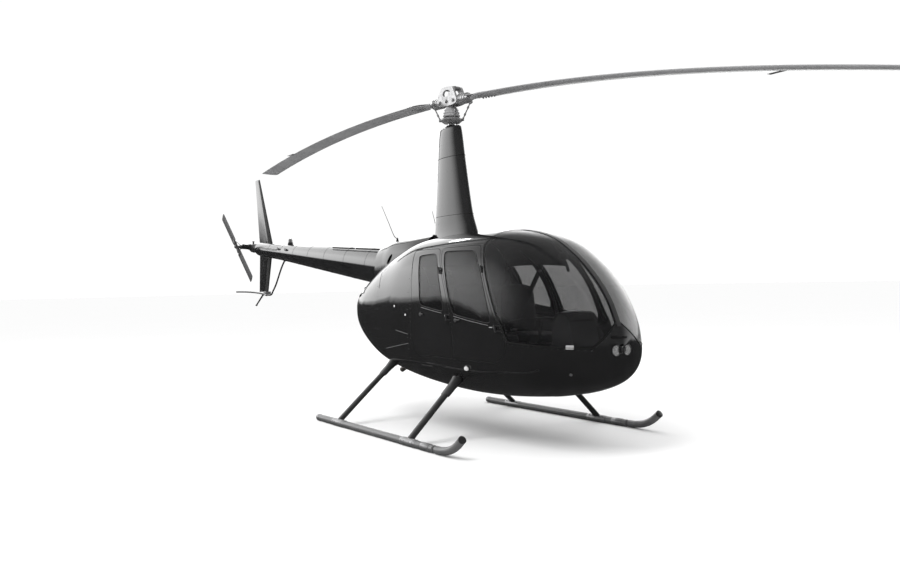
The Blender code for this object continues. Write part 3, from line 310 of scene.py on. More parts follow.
def paint(name):
    """The finish of this name, built once from its row."""
    if name in MATERIALS:
        return MATERIALS[name]
    (colour, haze, amount, haze_scale, rough, spread, metallic, coat, grain_scale, grain_depth, cells) = PAINTS[name]
    made = bpy.data.materials.new(name)
    made.use_nodes = True
    tree = made.node_tree
    shader = tree.nodes["Principled BSDF"]
    shader.inputs["Metallic"].default_value = metallic
    shader.inputs["Coat Weight"].default_value = coat
    shader.inputs["Coat Roughness"].default_value = 0.03
    cloud = node(tree, "ShaderNodeGroup", node_tree=HAZE)
    cloud.inputs["Colour"].default_value = (*colour, 1)
    cloud.inputs["Haze Colour"].default_value = (*haze, 1)
    cloud.inputs["Amount"].default_value = amount
    cloud.inputs["Scale"].default_value = haze_scale
    cloud.inputs["Roughness"].default_value = rough
    cloud.inputs["Roughness Spread"].default_value = spread
    tree.links.new(cloud.outputs["Colour"], shader.inputs["Base Color"])
    tree.links.new(cloud.outputs["Roughness"], shader.inputs["Roughness"])
    grain = node(tree, "ShaderNodeGroup", node_tree=GRAIN)
    grain.inputs["Scale"].default_value = grain_scale
    grain.inputs["Cells"].default_value = cells
    bump = node(tree, "ShaderNodeBump")
    bump.inputs["Distance"].default_value = grain_depth
    bump.inputs["Strength"].default_value = 0.5
    tree.links.new(grain.outputs["Height"], bump.inputs["Height"])
    tree.links.new(bump.outputs["Normal"], shader.inputs["Normal"])
    made.diffuse_color = (*colour, 1)
    MATERIALS[name] = made
    return made


def glass(name, colour, alpha, ior, rough=0.02):
    """Clear or tinted glazing that shows what is behind it through its alpha."""
    made = bpy.data.materials.new(name)
    made.use_nodes = True
    tree = made.node_tree
    shader = tree.nodes["Principled BSDF"]
    cloud = node(tree, "ShaderNodeGroup", node_tree=HAZE)
    cloud.inputs["Colour"].default_value = (*colour, 1)
    cloud.inputs["Haze Colour"].default_value = (*[c * 1.6 + 0.004 for c in colour], 1)
    cloud.inputs["Amount"].default_value = 0.5
    cloud.inputs["Scale"].default_value = 2.2
    cloud.inputs["Roughness"].default_value = rough
    cloud.inputs["Roughness Spread"].default_value = 0.02
    tree.links.new(cloud.outputs["Colour"], shader.inputs["Base Color"])
    tree.links.new(cloud.outputs["Roughness"], shader.inputs["Roughness"])
    shader.inputs["Alpha"].default_value = alpha
    shader.inputs["IOR"].default_value = ior
    made.surface_render_method = "BLENDED"
    made.diffuse_color = (*colour, alpha)
    MATERIALS[name] = made


glass("tinted_window", (0.010, 0.010, 0.0105), 0.40, 1.55)
glass("clear_lens", (0.30, 0.30, 0.30), 0.35, 1.9)
glass("position_lens", (0.62, 0.62, 0.62), 0.85, 1.5, 0.08)
glass("beacon_lens", (0.10, 0.10, 0.10), 0.75, 1.8)


def look(name):
    return MATERIALS.get(name) or paint(name)


def mesh_object(name, shape, home=None):
    mesh = bpy.data.meshes.new(name)
    shape.to_mesh(mesh)
    shape.free()
    made = bpy.data.objects.new(name, mesh)
    (home or bpy.context.scene.collection).objects.link(made)
    return made


def finish(made, finish_name, body, stands_for=(), angle=38.0):
    """Gives a shaped object its place, material, shading, body and the nodes that it stands for."""
    made.data.transform(Matrix.Translation((MAST_X, 0, 0)))
    names = (finish_name,) if isinstance(finish_name, str) else finish_name
    made.data.materials.clear()
    for name in names:
        made.data.materials.append(look(name))
    made.data.shade_smooth()
    if angle is not None:
        made.data.set_sharp_from_angle(angle=math.radians(angle))
    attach(made, body)
    if stands_for:
        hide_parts(*stands_for)
    return made


def piece(name, shape, finish_name, body="airframe", stands_for=(), angle=38.0, merge=0.00002):
    bmesh.ops.remove_doubles(shape, verts=shape.verts, dist=merge)
    bmesh.ops.recalc_face_normals(shape, faces=shape.faces)
    return finish(mesh_object(name, shape), finish_name, body, stands_for, angle)


def soften(made, width, segments=2, limit=40.0):
    step = made.modifiers.new("edges", "BEVEL")
    step.width = width
    step.segments = segments
    step.limit_method = "ANGLE"
    step.angle_limit = math.radians(limit)
    step.harden_normals = False
    return made


def joined(shapes):
    """Several shapes as one bmesh."""
    whole = bmesh.new()
    for shape in shapes:
        mesh = bpy.data.meshes.new("joined")
        shape.to_mesh(mesh)
        shape.free()
        whole.from_mesh(mesh)
        bpy.data.meshes.remove(mesh)
    return whole


def in_slot(shape, index):
    """The same shape with its faces in this material slot."""
    for face in shape.faces:
        face.material_index = index
    return shape


def skin(across, along, place, wrap=True):
    """A sheet of quads from a grid: place(u, v) gives each corner, with u round it and v along it."""
    shape = bmesh.new()
    bmesh.ops.create_grid(shape, x_segments=across, y_segments=along, size=0.5)
    for vert in shape.verts:
        vert.co = place(vert.co.x + 0.5, vert.co.y + 0.5)
    if wrap:
        bmesh.ops.remove_doubles(shape, verts=shape.verts, dist=0.00002)
    return shape


def capped(shape):
    """The sheet with its open ends closed."""
    rim = [edge for edge in shape.edges if edge.is_boundary]
    bmesh.ops.holes_fill(shape, edges=rim, sides=0)
    bmesh.ops.recalc_face_normals(shape, faces=shape.faces)
    return shape


def block(low, high, bevel=0.0, segments=2):
    shape = bmesh.new()
    low, high = Vector(low), Vector(high)
    bmesh.ops.create_cube(shape, size=1.0)
    bmesh.ops.scale(shape, vec=high - low, verts=shape.verts)
    bmesh.ops.translate(shape, vec=(low + high) / 2, verts=shape.verts)
    if bevel:
        bmesh.ops.bevel(
            shape, geom=shape.edges[:], offset=bevel, segments=segments, profile=0.5, affect="EDGES", material=-1
        )
    return shape


def bar(start, end, radius, end_radius=None, sides=20, round_edge=0.0):
    """A round bar or cone between two points."""
    shape = bmesh.new()
    start, end = Vector(start), Vector(end)
    along = end - start
    bmesh.ops.create_cone(
        shape, cap_ends=True, segments=sides, radius1=radius,
        radius2=radius if end_radius is None else end_radius, depth=along.length,
        matrix=Matrix.Translation((start + end) / 2) @ along.to_track_quat("Z", "Y").to_matrix().to_4x4(),
    )
    if round_edge:
        rims = [edge for edge in shape.edges if len(edge.link_faces[0].verts) > 4 or len(edge.link_faces[1].verts) > 4]
        bmesh.ops.bevel(shape, geom=rims, offset=round_edge, segments=3, profile=0.5, affect="EDGES", material=-1)
    return shape


def turned(profile, place, axis, sides=32):
    """A turned piece: (distance along the axis, radius) points spun round it."""
    shape = bmesh.new()
    verts = [shape.verts.new((radius, 0.0, height)) for height, radius in profile]
    edges = [shape.edges.new(pair) for pair in zip(verts[:-1], verts[1:])]
    bmesh.ops.spin(
        shape, geom=verts + edges, cent=(0, 0, 0), axis=(0, 0, 1), angle=2 * math.pi, steps=sides, use_merge=True
    )
    bmesh.ops.remove_doubles(shape, verts=shape.verts, dist=0.00001)
    capped(shape)
    turn = Vector(axis).to_track_quat("Z", "Y").to_matrix().to_4x4()
    bmesh.ops.transform(shape, matrix=Matrix.Translation(place) @ turn, verts=shape.verts)
    return shape


def plate(outline, axis, low, high, bevel=0.0):
    """A flat outline pushed along an axis: (y, z) points for X, (x, z) for Y, (x, y) for Z."""
    shape = bmesh.new()
    slot_of = "XYZ".index(axis)
    points = []
    for a, b in outline:
        point = [a, b]
        point.insert(slot_of, low)
        points.append(point)
    face = shape.faces.new([shape.verts.new(point) for point in points])
    pushed = bmesh.ops.extrude_face_region(shape, geom=[face])
    moved = [item for item in pushed["geom"] if isinstance(item, bmesh.types.BMVert)]
    push = Vector((0.0, 0.0, 0.0))
    push[slot_of] = high - low
    bmesh.ops.translate(shape, vec=push, verts=moved)
    bmesh.ops.recalc_face_normals(shape, faces=shape.faces)
    if bevel:
        bmesh.ops.bevel(
            shape, geom=shape.edges[:], offset=bevel, segments=2, profile=0.5, affect="EDGES", material=-1
        )
    return shape


def curved(points, steps=6):
    """A smooth run of points through the given ones."""
    points = [Vector(point) for point in points]
    run = []
    for i in range(len(points) - 1):
        before = points[i - 1] if i else 2 * points[0] - points[1]
        beyond = points[i + 2] if i + 2 < len(points) else 2 * points[-1] - points[-2]
        for k in range(steps):
            t = k / steps
            run.append(0.5 * (
                2 * points[i] + (points[i + 1] - before) * t
                + (2 * before - 5 * points[i] + 4 * points[i + 1] - beyond) * t * t
                + (3 * points[i] - before - 3 * points[i + 1] + beyond) * t * t * t
            ))
    run.append(points[-1])
    return run


def tube(path, radius, sides=12, width=None, flat=X, ends=True):
    """A tube along a run of points: round, or oval with width across the flat direction."""
    path = [Vector(point) for point in path]
    count = len(path)
    frames = []
    for i, here in enumerate(path):
        along = (path[min(i + 1, count - 1)] - path[max(i - 1, 0)]).normalized()
        aside = (flat - along * flat.dot(along))
        aside = aside.normalized() if aside.length > 0.01 else along.orthogonal().normalized()
        frames.append((here, aside, along.cross(aside)))
    radii = radius if isinstance(radius, (list, tuple)) else [radius] * count

    def place(u, v):
        i = round(v * (count - 1))
        here, aside, up = frames[i]
        angle = 2 * math.pi * u
        wide = radii[i] if width is None else width
        return here + aside * wide * math.cos(angle) + up * radii[i] * math.sin(angle)

    shape = skin(sides, count - 1, place)
    return capped(shape) if ends else shape


def cloud_of(points, normals, radius, sides=6, height=0.5):
    """Small domes, such as rivets, at each point and lying on each normal."""
    shape = bmesh.new()
    for point, normal in zip(points, normals):
        turn = Vector(normal).to_track_quat("Z", "Y").to_matrix().to_4x4()
        bmesh.ops.create_cone(
            shape, cap_ends=True, segments=sides, radius1=radius, radius2=radius * 0.55, depth=radius * height,
            matrix=Matrix.Translation(Vector(point)) @ turn,
        )
    return shape


def spline(rows, place):
    i = min(int(place), len(rows) - 2)
    t = place - i
    here, there = rows[i], rows[i + 1]
    before = rows[i - 1] if i else [2 * a - b for a, b in zip(here, there)]
    beyond = rows[i + 2] if i + 2 < len(rows) else [2 * b - a for a, b in zip(here, there)]
    return [
        0.5 * (2 * b + (c - a) * t + (2 * a - 5 * b + 4 * c - d) * t * t + (3 * b - a - 3 * c + d) * t * t * t)
        for a, b, c, d in zip(before, here, there, beyond)
    ]


# The body's section as a function of x, looked up in a fine table along the spline
FINE = [spline(BODY, i / 40) for i in range((len(BODY) - 1) * 40 + 1)]
FINE_X = np.array([row[0] for row in FINE][::-1])
FINE_ROWS = np.array([row[1:] for row in FINE][::-1])


def section_at(x):
    """half_width, z_top, z_wide, z_bottom, n_up, n_low at x."""
    return [float(np.interp(x, FINE_X, FINE_ROWS[:, k])) for k in range(6)]


def on_section(x, angle, inset=0.0):
    """A point of the body's skin: angle 0 at the top, a quarter turn at the starboard side."""
    half, top, wide, bottom, n_up, n_low = section_at(x)
    across, up = math.sin(angle), math.cos(angle)
    power, height = (n_up, top - wide) if up >= 0 else (n_low, wide - bottom)
    point = Vector((
        x,
        -half * math.copysign(abs(across) ** (2 / power), across),
        wide + height * math.copysign(abs(up) ** (2 / power), up),
    ))
    return point - body_normal(point) * inset if inset else point


def body_level(x, y, z):
    half, top, wide, bottom, n_up, n_low = section_at(x)
    power, height = (n_up, top - wide) if z >= wide else (n_low, wide - bottom)
    return (abs(y) / half) ** power + (abs(z - wide) / height) ** power


def body_normal(point):
    """The outward direction of the body's skin near a point."""
    x, y, z = point
    step = 0.004
    slope = Vector((
        body_level(x + step, y, z) - body_level(x - step, y, z),
        body_level(x, y + step, z) - body_level(x, y - step, z),
        body_level(x, y, z + step) - body_level(x, y, z - step),
    ))
    if x > BODY[0][0] - 0.01:
        slope.x = abs(slope.x) + 0.6
    return slope.normalized()


def on_side(x, z, inset=0.0, port=False):
    """The point of the body's side at this x and z."""
    half, top, wide, bottom, n_up, n_low = section_at(x)
    power, height = (n_up, top - wide) if z >= wide else (n_low, wide - bottom)
    y = half * max(0.0, 1 - (abs(z - wide) / height) ** power) ** (1 / power)
    point = Vector((x, y if port else -y, z))
    return point - body_normal(point) * inset


def grown(outline, by):
    count = len(outline)
    area = sum(
        outline[i][0] * outline[(i + 1) % count][1] - outline[(i + 1) % count][0] * outline[i][1] for i in range(count)
    )
    side = 1.0 if area > 0 else -1.0
    moved = []
    for i, here in enumerate(outline):
        here = Vector(here)
        before = (here - Vector(outline[i - 1])).normalized()
        after = (Vector(outline[(i + 1) % count]) - here).normalized()
        out_before = Vector((before.y, -before.x)) * side
        out_after = Vector((after.y, -after.x)) * side
        corner = (out_before + out_after).normalized()
        moved.append(tuple(here + corner * (by / max(0.5, corner.dot(out_before)))))
    return moved


def rounded(outline, rounds=3, keep=0.2):
    """The closed outline with its corners cut back a few times, so that it runs smoothly."""
    points = [Vector(point) for point in outline]
    for _ in range(rounds):
        cut = []
        for i, here in enumerate(points):
            there = points[(i + 1) % len(points)]
            share = min(keep, 0.035 / max(1e-6, (there - here).length))
            cut += [here.lerp(there, share), here.lerp(there, 1 - share)]
        points = cut
    return [tuple(point) for point in points]


def door_outline(which):
    half = MID_POST_WIDTH / 2
    if which == "front":
        front = [(x - A_POST, z) for x, z in WINDSHIELD_EDGE]
        rear = [(x + half, z) for x, z in reversed(MID_POST)]
        return front + list(FRONT_DOOR_FOOT) + rear
    return [(x - half, z) for x, z in MID_POST] + list(REAR_DOOR_BACK)


def cutter(name, shape):
    made = mesh_object(name, shape, workshop)
    made.hide_render = True
    return made


def side_cutter(name, outline, port, inner=0.15):
    low, high = (inner, 0.95) if port else (-0.95, -inner)
    return cutter(name, plate(outline, "Y", low, high))


def applied(made):
    """The object's mesh with its modifiers done, in place of its own."""
    bpy.context.view_layer.update()
    graph = bpy.context.evaluated_depsgraph_get()
    mesh = bpy.data.meshes.new_from_object(made.evaluated_get(graph))
    made.modifiers.clear()
    made.data = mesh
    return made


def carve(made, cuts=(), keeps=()):
    for other, kind in [(one, "INTERSECT") for one in keeps] + [(one, "DIFFERENCE") for one in cuts]:
        step = made.modifiers.new("cut", "BOOLEAN")
        step.object = other
        step.operation = kind
        step.solver = "EXACT"
    return applied(made)


def body_panel(x_low, x_high, angle_low, angle_high, along, around, thickness, depth=0.0, closed_ends=False):
    """A thick piece of the body's skin between two stations and two angles round it."""
    whole = angle_high - angle_low > 2 * math.pi - 0.001

    def place(u, v):
        angle = angle_low + (angle_high - angle_low) * u
        return on_section(x_low + (x_high - x_low) * v, angle, depth)

    shape = skin(around, along, place, wrap=whole)
    bmesh.ops.recalc_face_normals(shape, faces=shape.faces)
    middle = shape.faces[len(shape.faces) // 2]
    if middle.normal.dot(body_normal(middle.calc_center_median())) < 0:
        bmesh.ops.reverse_faces(shape, faces=shape.faces)
    rim = [edge for edge in shape.edges if edge.is_boundary]
    inner = {}
    copied = bmesh.ops.duplicate(shape, geom=shape.verts[:] + shape.edges[:] + shape.faces[:])
    for old, new in copied["vert_map"].items():
        inner[old] = new
    fresh = {item for item in copied["geom"] if isinstance(item, bmesh.types.BMVert)}
    for vert in fresh:
        vert.co -= body_normal(vert.co) * thickness
    fresh_faces = [item for item in copied["geom"] if isinstance(item, bmesh.types.BMFace)]
    bmesh.ops.reverse_faces(shape, faces=fresh_faces)
    rim += [edge for edge in shape.edges if edge.is_boundary and edge.verts[0] in fresh]
    loops = bmesh.ops.bridge_loops(shape, edges=rim) if not whole else None
    if loops is None:
        for x in (x_low, x_high):
            ends = [edge for edge in rim if abs(edge.verts[0].co.x - x) < 0.03 and abs(edge.verts[1].co.x - x) < 0.03]
            bmesh.ops.bridge_loops(shape, edges=ends)
    bmesh.ops.recalc_face_normals(shape, faces=shape.faces)
    return shape


def true_normals(made):
    """Shades the body's outer and inner skin by the smooth shape that its facets stand for."""
    mesh = made.data
    known = {}
    normals = [Vector()] * len(mesh.loops)
    for polygon in mesh.polygons:
        centre = polygon.center - Vector((MAST_X, 0, 0))
        facing = polygon.normal.dot(body_normal(centre))
        for loop in polygon.loop_indices:
            if abs(facing) < 0.93:
                normals[loop] = polygon.normal
                continue
            index = mesh.loops[loop].vertex_index
            if index not in known:
                known[index] = body_normal(mesh.vertices[index].co - Vector((MAST_X, 0, 0)))
            normals[loop] = known[index] if facing > 0 else -known[index]
    mesh.normals_split_custom_set(normals)
    return made


roof_side = list(ROOF_LINE) + [(COWL_REAR_X, 2.4), (ROOF_FRONT_X, 2.4)]
roof_cut = cutter("roof_cut", plate(grown(roof_side, 0.0012), "Y", -1, 1))
roof_keep = cutter("roof_keep", plate(grown(roof_side, -0.0012), "Y", -1, 1))


def windshield_region(name, grow, port):
    side_view = grown(
        [(ROOF_FRONT_X + 0.02, 2.2)] + list(WINDSHIELD_EDGE[:-1]) + list(WINDSHIELD_SILL) + [(3.0, 0.880), (3.0, 2.2)],
        grow,
    )
    front_view = grown(
        [(-0.9, NOSE_EDGE[0][1])] + list(NOSE_EDGE) + [(-CENTRE_STRIP, 2.2), (-0.9, 2.2)], grow
    )
    if port:
        front_view = [(-y, z) for y, z in front_view]
    low, high = (0.001, 0.95) if port else (-0.95, -0.001)
    made = cutter(name, plate(side_view, "Y", low, high))
    return carve(made, keeps=[cutter(name + "_ahead", plate(front_view, "X", 0.9, 3.2))])


def build_body():
    """The cabin's fixed skin, its doors and glass."""
    cabin = mesh_object("cabin_skin", body_panel(COWL_FRONT_X, 2.4419, 0, 2 * math.pi, 96, 144, SKIN))
    cuts = [roof_cut]
    for y in (-0.058, 0.058):
        cuts.append(cutter("lamp_bore", bar((2.30, y, 0.856), (2.60, y, 0.856), 0.0430, None, 48)))
    for port in (False, True):
        side = "left" if port else "right"
        cuts.append(windshield_region(f"windshield_hole_{side}", 0.0012, port))
        for which in ("front", "rear"):
            outline = rounded(door_outline(which))
            cuts.append(side_cutter(f"{which}_doorway_{side}", grown(outline, DOOR_GAP / 2), port))
    carve(cabin, cuts=cuts)
    finish(cabin, "gloss_black", "airframe", ["cabin_shell"])
    true_normals(cabin)
    for port in (False, True):
        side = "left" if port else "right"
        centre = -math.pi / 2 if port else math.pi / 2
        pane = mesh_object(f"windshield_pane_{side}", body_panel(
            1.10, 2.42, min(0, 2 * centre) + 0.0, max(0, 2 * centre), 64, 72, 0.005, 0.002))
        carve(pane, keeps=[windshield_region(f"windshield_pane_cut_{side}", -0.0006, port)])
        finish(pane, "tinted_window", "airframe", [f"windshield_{side}"])
        true_normals(pane)
        for which, window, x_low, x_high in (
            ("front", FRONT_WINDOW, 0.45, 1.75), ("rear", REAR_WINDOW, -0.05, 1.02),
        ):
            body = f"door_{which}_{side}"
            outline = rounded(door_outline(which))
            glazed = rounded(window, 3, 0.25)
            door = mesh_object(f"{which}_door_skin_{side}", body_panel(
                x_low, x_high, centre - 1.35, centre + 1.0, 72, 64, SKIN) if not port else body_panel(
                x_low, x_high, centre - 1.0, centre + 1.35, 72, 64, SKIN))
            carve(door, cuts=[side_cutter("window_cut", glazed, port)],
                  keeps=[side_cutter("door_keep", grown(outline, -DOOR_GAP / 2), port)])
            finish(door, "gloss_black", body, [f"{which}_door_{side}"])
            true_normals(door)
            glaze = mesh_object(f"{which}_window_pane_{side}", body_panel(
                x_low, x_high, centre - 1.35, centre + 1.0, 48, 48, 0.005, 0.002) if not port else body_panel(
                x_low, x_high, centre - 1.0, centre + 1.35, 48, 48, 0.005, 0.002))
            carve(glaze, keeps=[side_cutter("glass_keep", grown(glazed, -0.0006), port)])
            finish(glaze, "tinted_window", body, [f"{which}_window_{side}"])
            true_normals(glaze)


def even_run(points, spacing):
    """Points at this spacing along a line of points."""
    points = [Vector(point) for point in points]
    lengths = [(b - a).length for a, b in zip(points[:-1], points[1:])]
    total = sum(lengths)
    count = max(1, round(total / spacing))
    run = []
    for k in range(count + 1):
        left = total * k / count
        i = 0
        while i < len(lengths) - 1 and left > lengths[i]:
            left -= lengths[i]
            i += 1
        run.append(points[i].lerp(points[i + 1], min(1.0, left / lengths[i])))
    return run


def ring_tube(path, radius, sides=8):
    """A round bead along a closed run of points."""
    path = [Vector(point) for point in path]
    count = len(path)
    middle = sum(path, Vector()) / count

    def place(u, v):
        i = round(v * count) % count
        along = (path[(i + 1) % count] - path[i - 1]).normalized()
        aside = path[i] - middle
        aside = (aside - along * aside.dot(along)).normalized()
        angle = 2 * math.pi * u
        return path[i] + radius * (aside * math.cos(angle) + along.cross(aside) * math.sin(angle))

    return skin(sides, count, place)


def side_run(outline, inset, port, spacing=0.025):
    """A closed side outline laid on the body's skin."""
    closed = [Vector((x, 0, z)) for x, z in outline] + [Vector((*outline[0], 0)).xzy]
    return [on_side(point.x, point.z, inset, port) for point in even_run(closed, spacing)[:-1]]


def side_points(line, spacing, port, inset=0.0):
    """Points and outward directions along a seam on the body's side."""
    spots = [on_side(point.x, point.z, inset, port) for point in even_run([(x, 0, z) for x, z in line], spacing)]
    return spots, [body_normal(spot) for spot in spots]


def ring_points(x, spacing_deg, low_deg, high_deg):
    """Points and outward directions round the body at one station, from the top down."""
    spots = []
    angle = low_deg
    while angle <= high_deg:
        for way in (-1, 1):
            spots.append(on_section(x, way * math.radians(angle)))
        angle += spacing_deg
    return spots, [body_normal(spot) for spot in spots]


def build_cowls():
    """The roof, the engine's cowls and the one behind them, in the same smooth skin as the cabin."""
    roof = mesh_object("roof_skin", body_panel(-0.63, 1.18, -1.25, 1.25, 96, 84, SKIN))
    carve(roof, keeps=[roof_keep])
    true_normals(finish(roof, "gloss_black", "airframe", ["roof_cowling"], None))
    for port in (False, True):
        side = "left" if port else "right"
        low, high = (0.0006, math.pi - 0.002) if port else (-math.pi + 0.002, -0.0006)
        cowl = mesh_object(f"engine_cowl_skin_{side}", body_panel(
            COWL_REAR_X + 0.0008, COWL_FRONT_X - 0.0012, -high, -low, 48, 84, SKIN))
        doorway = side_cutter("cowl_doorway", grown(rounded(door_outline("rear")), 1.5 * DOOR_GAP), port)
        tube_path = [(REAR_TUBE_X, y, z) for y, z in REAR_TUBE] + [(REAR_TUBE_X, -y, z) for y, z in REAR_TUBE[::-1]]
        carve(cowl, cuts=[roof_cut, doorway, cutter("rear_tube_hole", tube(tube_path, 0.026, 16, 0.047))])
        true_normals(finish(cowl, "gloss_black", "airframe", [f"engine_cowl_{side}"], None))
    aft = mesh_object("aft_skin", body_panel(-1.459, COWL_REAR_X - 0.0012, 0, 2 * math.pi, 72, 128, 0.02))
    hole = skin(48, 1, lambda u, v: cone_point(-0.9 - v, 2 * math.pi * u, 0.004))
    cuts = [cutter("cone_hole", capped(hole))]
    for port in (False, True):
        flip = 1 if port else -1
        for k in range(3):
            slot_z = 1.425 - 0.062 * k
            slot = plate(
                rounded([(-1.150, slot_z - 0.004), (-1.150, slot_z + 0.026), (-1.345, slot_z - 0.016), (-1.345, slot_z - 0.046)], 3, 0.3),
                "Y", 0.20 * flip, 0.60 * flip,
            )
            cuts.append(cutter("louvre_hole", slot))
    carve(aft, cuts=cuts)
    true_normals(finish(aft, "gloss_black", "airframe", ["aft_cowl"], None))
    # Dark sheets just under the louvre slots: painted shade for the dark inside of the cowl.
    dark = [body_shelf(-1.44, -1.06, way * 0.95, way * 1.95, 0.030) for way in (-1, 1)]
    piece("louvre_lining", joined(dark), "trim_black", merge=0)
    rim = [on_section(-1.459, 2 * math.pi * i / 96) for i in range(96)]
    wall = mesh_object("fan_wall", plate([(v.y * 0.998, 1.18 + (v.z - 1.18) * 0.998) for v in rim], "X", -1.462, -1.440))
    carve(wall, cuts=[cutter("fan_hole", bar((-1.3, 0, FAN_Z), (-1.6, 0, FAN_Z), 0.190, sides=64)), cuts[0]])
    finish(wall, "gloss_black", "airframe", (), 30)
    soften(wall, 0.004, 2)


def body_shelf(x_low, x_high, angle_low, angle_high, depth):
    """A thin sheet that lies this far under the body's skin; behind the louvres it is painted shade."""
    return body_panel(x_low, x_high, min(angle_low, angle_high), max(angle_low, angle_high), 16, 16, 0.002, depth)


def cone_axis(x):
    return CONE_AXIS_Z + (CONE_AXIS_X - x) * CONE_RISE


def cone_radius(x):
    if x > CONE[1][0]:
        share = (x - CONE[0][0]) / (CONE[1][0] - CONE[0][0])
        return CONE[0][1] + (CONE[1][1] - CONE[0][1]) * share
    share = (x - CONE[1][0]) / (CONE[2][0] - CONE[1][0])
    return CONE[1][1] + (CONE[2][1] - CONE[1][1]) * share


def cone_point(x, angle, proud=0.0):
    """A point of the tail cone: angle 0 on top, a quarter turn to starboard."""
    radius = cone_radius(x) + proud
    return Vector((x, -radius * math.sin(angle), cone_axis(x) + radius * math.cos(angle)))


def build_upper_cowling():
    """The ridge behind the mast with its air inlets, and the fairing round the mast."""
    table = [(-0.280, 0.196, 1.9262)] + [list(row) for row in UPPER_COWL[1:]]

    def ridge(u, v, inset=0.0):
        x, half, top = spline(table, v * (len(table) - 1))
        angle = math.pi * u
        across, up = math.cos(angle), math.sin(angle)
        wide = half - inset
        tall = top - inset - RIDGE_FOOT
        return Vector((
            x, wide * math.copysign(abs(across) ** 0.6, across), RIDGE_FOOT + tall * max(0.0, up) ** 0.6,
        ))

    shape = skin(64, 48, ridge, wrap=False)
    bmesh.ops.recalc_face_normals(shape, faces=shape.faces)
    top = max(shape.faces, key=lambda face: face.calc_center_median().z)
    if top.normal.z < 0:
        bmesh.ops.reverse_faces(shape, faces=shape.faces)
    bmesh.ops.solidify(shape, geom=shape.faces[:], thickness=0.008)
    cowl = mesh_object("ridge_cowling", shape)
    inner = skin(96, 60, lambda u, v: on_section(0.4 - 1.855 * v, 2 * math.pi * u))
    body_form = cutter("body_form", capped(inner))
    cone_form = cutter("cone_form", capped(skin(64, 1, lambda u, v: cone_point(-0.6 - 1.3 * v, 2 * math.pi * u, 0.0003))))
    inlet = rounded([(-0.930, 1.742), (-0.868, 1.755), (-0.935, 1.650), (-1.005, 1.640)], 3, 0.3)
    inlets = [cutter("inlet_hole", plate(inlet, "Y", 0.060 * way, 0.60 * way)) for way in (-1, 1)]
    carve(cowl, cuts=[body_form, cone_form] + inlets)
    finish(cowl, "gloss_black", "airframe", ["upper_cowling"], 32)
    lips, shade_plates, spots, ways = [], [], [], []
    for way in (-1, 1):
        loop = []
        for point in even_run([(x, 0, z) for x, z in inlet + inlet[:1]], 0.012)[:-1]:
            loop.append(ridge_flank(table, point.x, point.z, way))
        lips.append(ring_tube(loop, 0.0035, 8))
        depth = min(abs(point.y) for point in loop) - 0.012
        # A deep black plate a little inside each inlet: painted shade for the dark inside of the duct.
        shade_plates.append(plate(grown(inlet, 0.012), "Y", way * (depth - 0.020), way * depth))
        for point in even_run([ridge_flank(table, x, 1.60 + 0.035 * way * 0, way) for x in (-1.28, -1.05, -0.70)], 0.09):
            spots.append(point)
            ways.append(Vector((0, way, 0.15)))
    piece("inlet_lips", joined(lips), "satin_black", merge=0)
    piece("inlet_throats", joined(shade_plates), "deep_black", merge=0)
    piece("ridge_fasteners", cloud_of(spots, ways, 0.006, 8), "dark_metal", merge=0)

    def fairing(u, v, grow=0.0):
        rear, front, thick, z = spline(FAIRING, v * (len(FAIRING) - 1))
        angle = 2 * math.pi * u
        along, across = math.cos(angle), math.sin(angle)
        middle, half = (rear + front) / 2, (front - rear) / 2 + grow
        return Vector((
            middle + half * along, (thick / 2 + grow) * across * (0.88 + 0.12 * along) * (1 - 0.10 * (1 - along) / 2), z,
        ))

    tower = capped(skin(72, 72, fairing))
    tower = mesh_object("mast_tower", tower)
    ridge_form = cutter("ridge_form", ridge_solid(table))
    bore = cutter("mast_bore", bar((0, 0, 2.0), (0, 0, 3.2), 0.046, sides=48))
    carve(tower, cuts=[body_form, ridge_form, bore])
    finish(tower, "gloss_black", "airframe", ["mast_fairing"], 40)
    rivets, ways = [], []
    for v in (0.30, 0.44, 0.58, 0.72, 0.86):
        for k in range(24):
            u = (k + 0.5) / 24
            here = fairing(u, v)
            rivets.append(here)
            ways.append((fairing(u, v, 0.01) - here).normalized())
    for k in range(44):
        v = 0.13 + 0.80 * k / 43
        for u in (0.035, 0.965):
            here = fairing(u, v)
            rivets.append(here)
            ways.append((fairing(u, v, 0.01) - here).normalized())
    piece("mast_rivets", cloud_of(rivets, ways, 0.0032), "dark_metal", merge=0)
    bands = [
        skin(72, 1, lambda u, v: fairing(u, level + 0.003 * v, 0.0012), wrap=True) for level in (0.37, 0.65)
    ]
    for band in bands:
        bmesh.ops.solidify(band, geom=band.faces[:], thickness=0.0012)
    piece("mast_seams", joined(bands), "trim_black", merge=0)
    skirt = []
    for u in [k / 96 for k in range(96)]:
        foot = fairing(u, 0.045, 0.004)
        x, half, top = ridge_row(table, foot.x)
        z = section_at(foot.x)[1]
        level = body_top_at(foot.x, foot.y)
        if foot.x < -0.28:
            level = max(level, top)
        skirt.append(Vector((foot.x, foot.y, level + 0.004)))
    piece("mast_skirt", ring_tube(skirt, 0.006, 10), "satin_black", merge=0)


def body_top_at(x, y):
    half, top, wide, bottom, n_up, n_low = section_at(x)
    return wide + (top - wide) * max(0.0, 1 - (abs(y) / half) ** n_up) ** (1 / n_up)


def ridge_row(table, x):
    """The ridge's row at x."""
    count = len(table) - 1
    for i in range(count * 20):
        row = spline(table, i / 20)
        if row[0] <= x:
            return row
    return spline(table, count - 0.001)


def ridge_flank(table, x, z, way):
    """The point of the ridge's side at this x and z."""
    row = ridge_row(table, x)
    up = min(1.0, max(0.0, (z - RIDGE_FOOT) / (row[2] - RIDGE_FOOT)) ** (1 / 0.6))
    across = math.sqrt(max(0.0, 1 - up * up)) ** 0.6
    return Vector((x, way * row[1] * across, z))


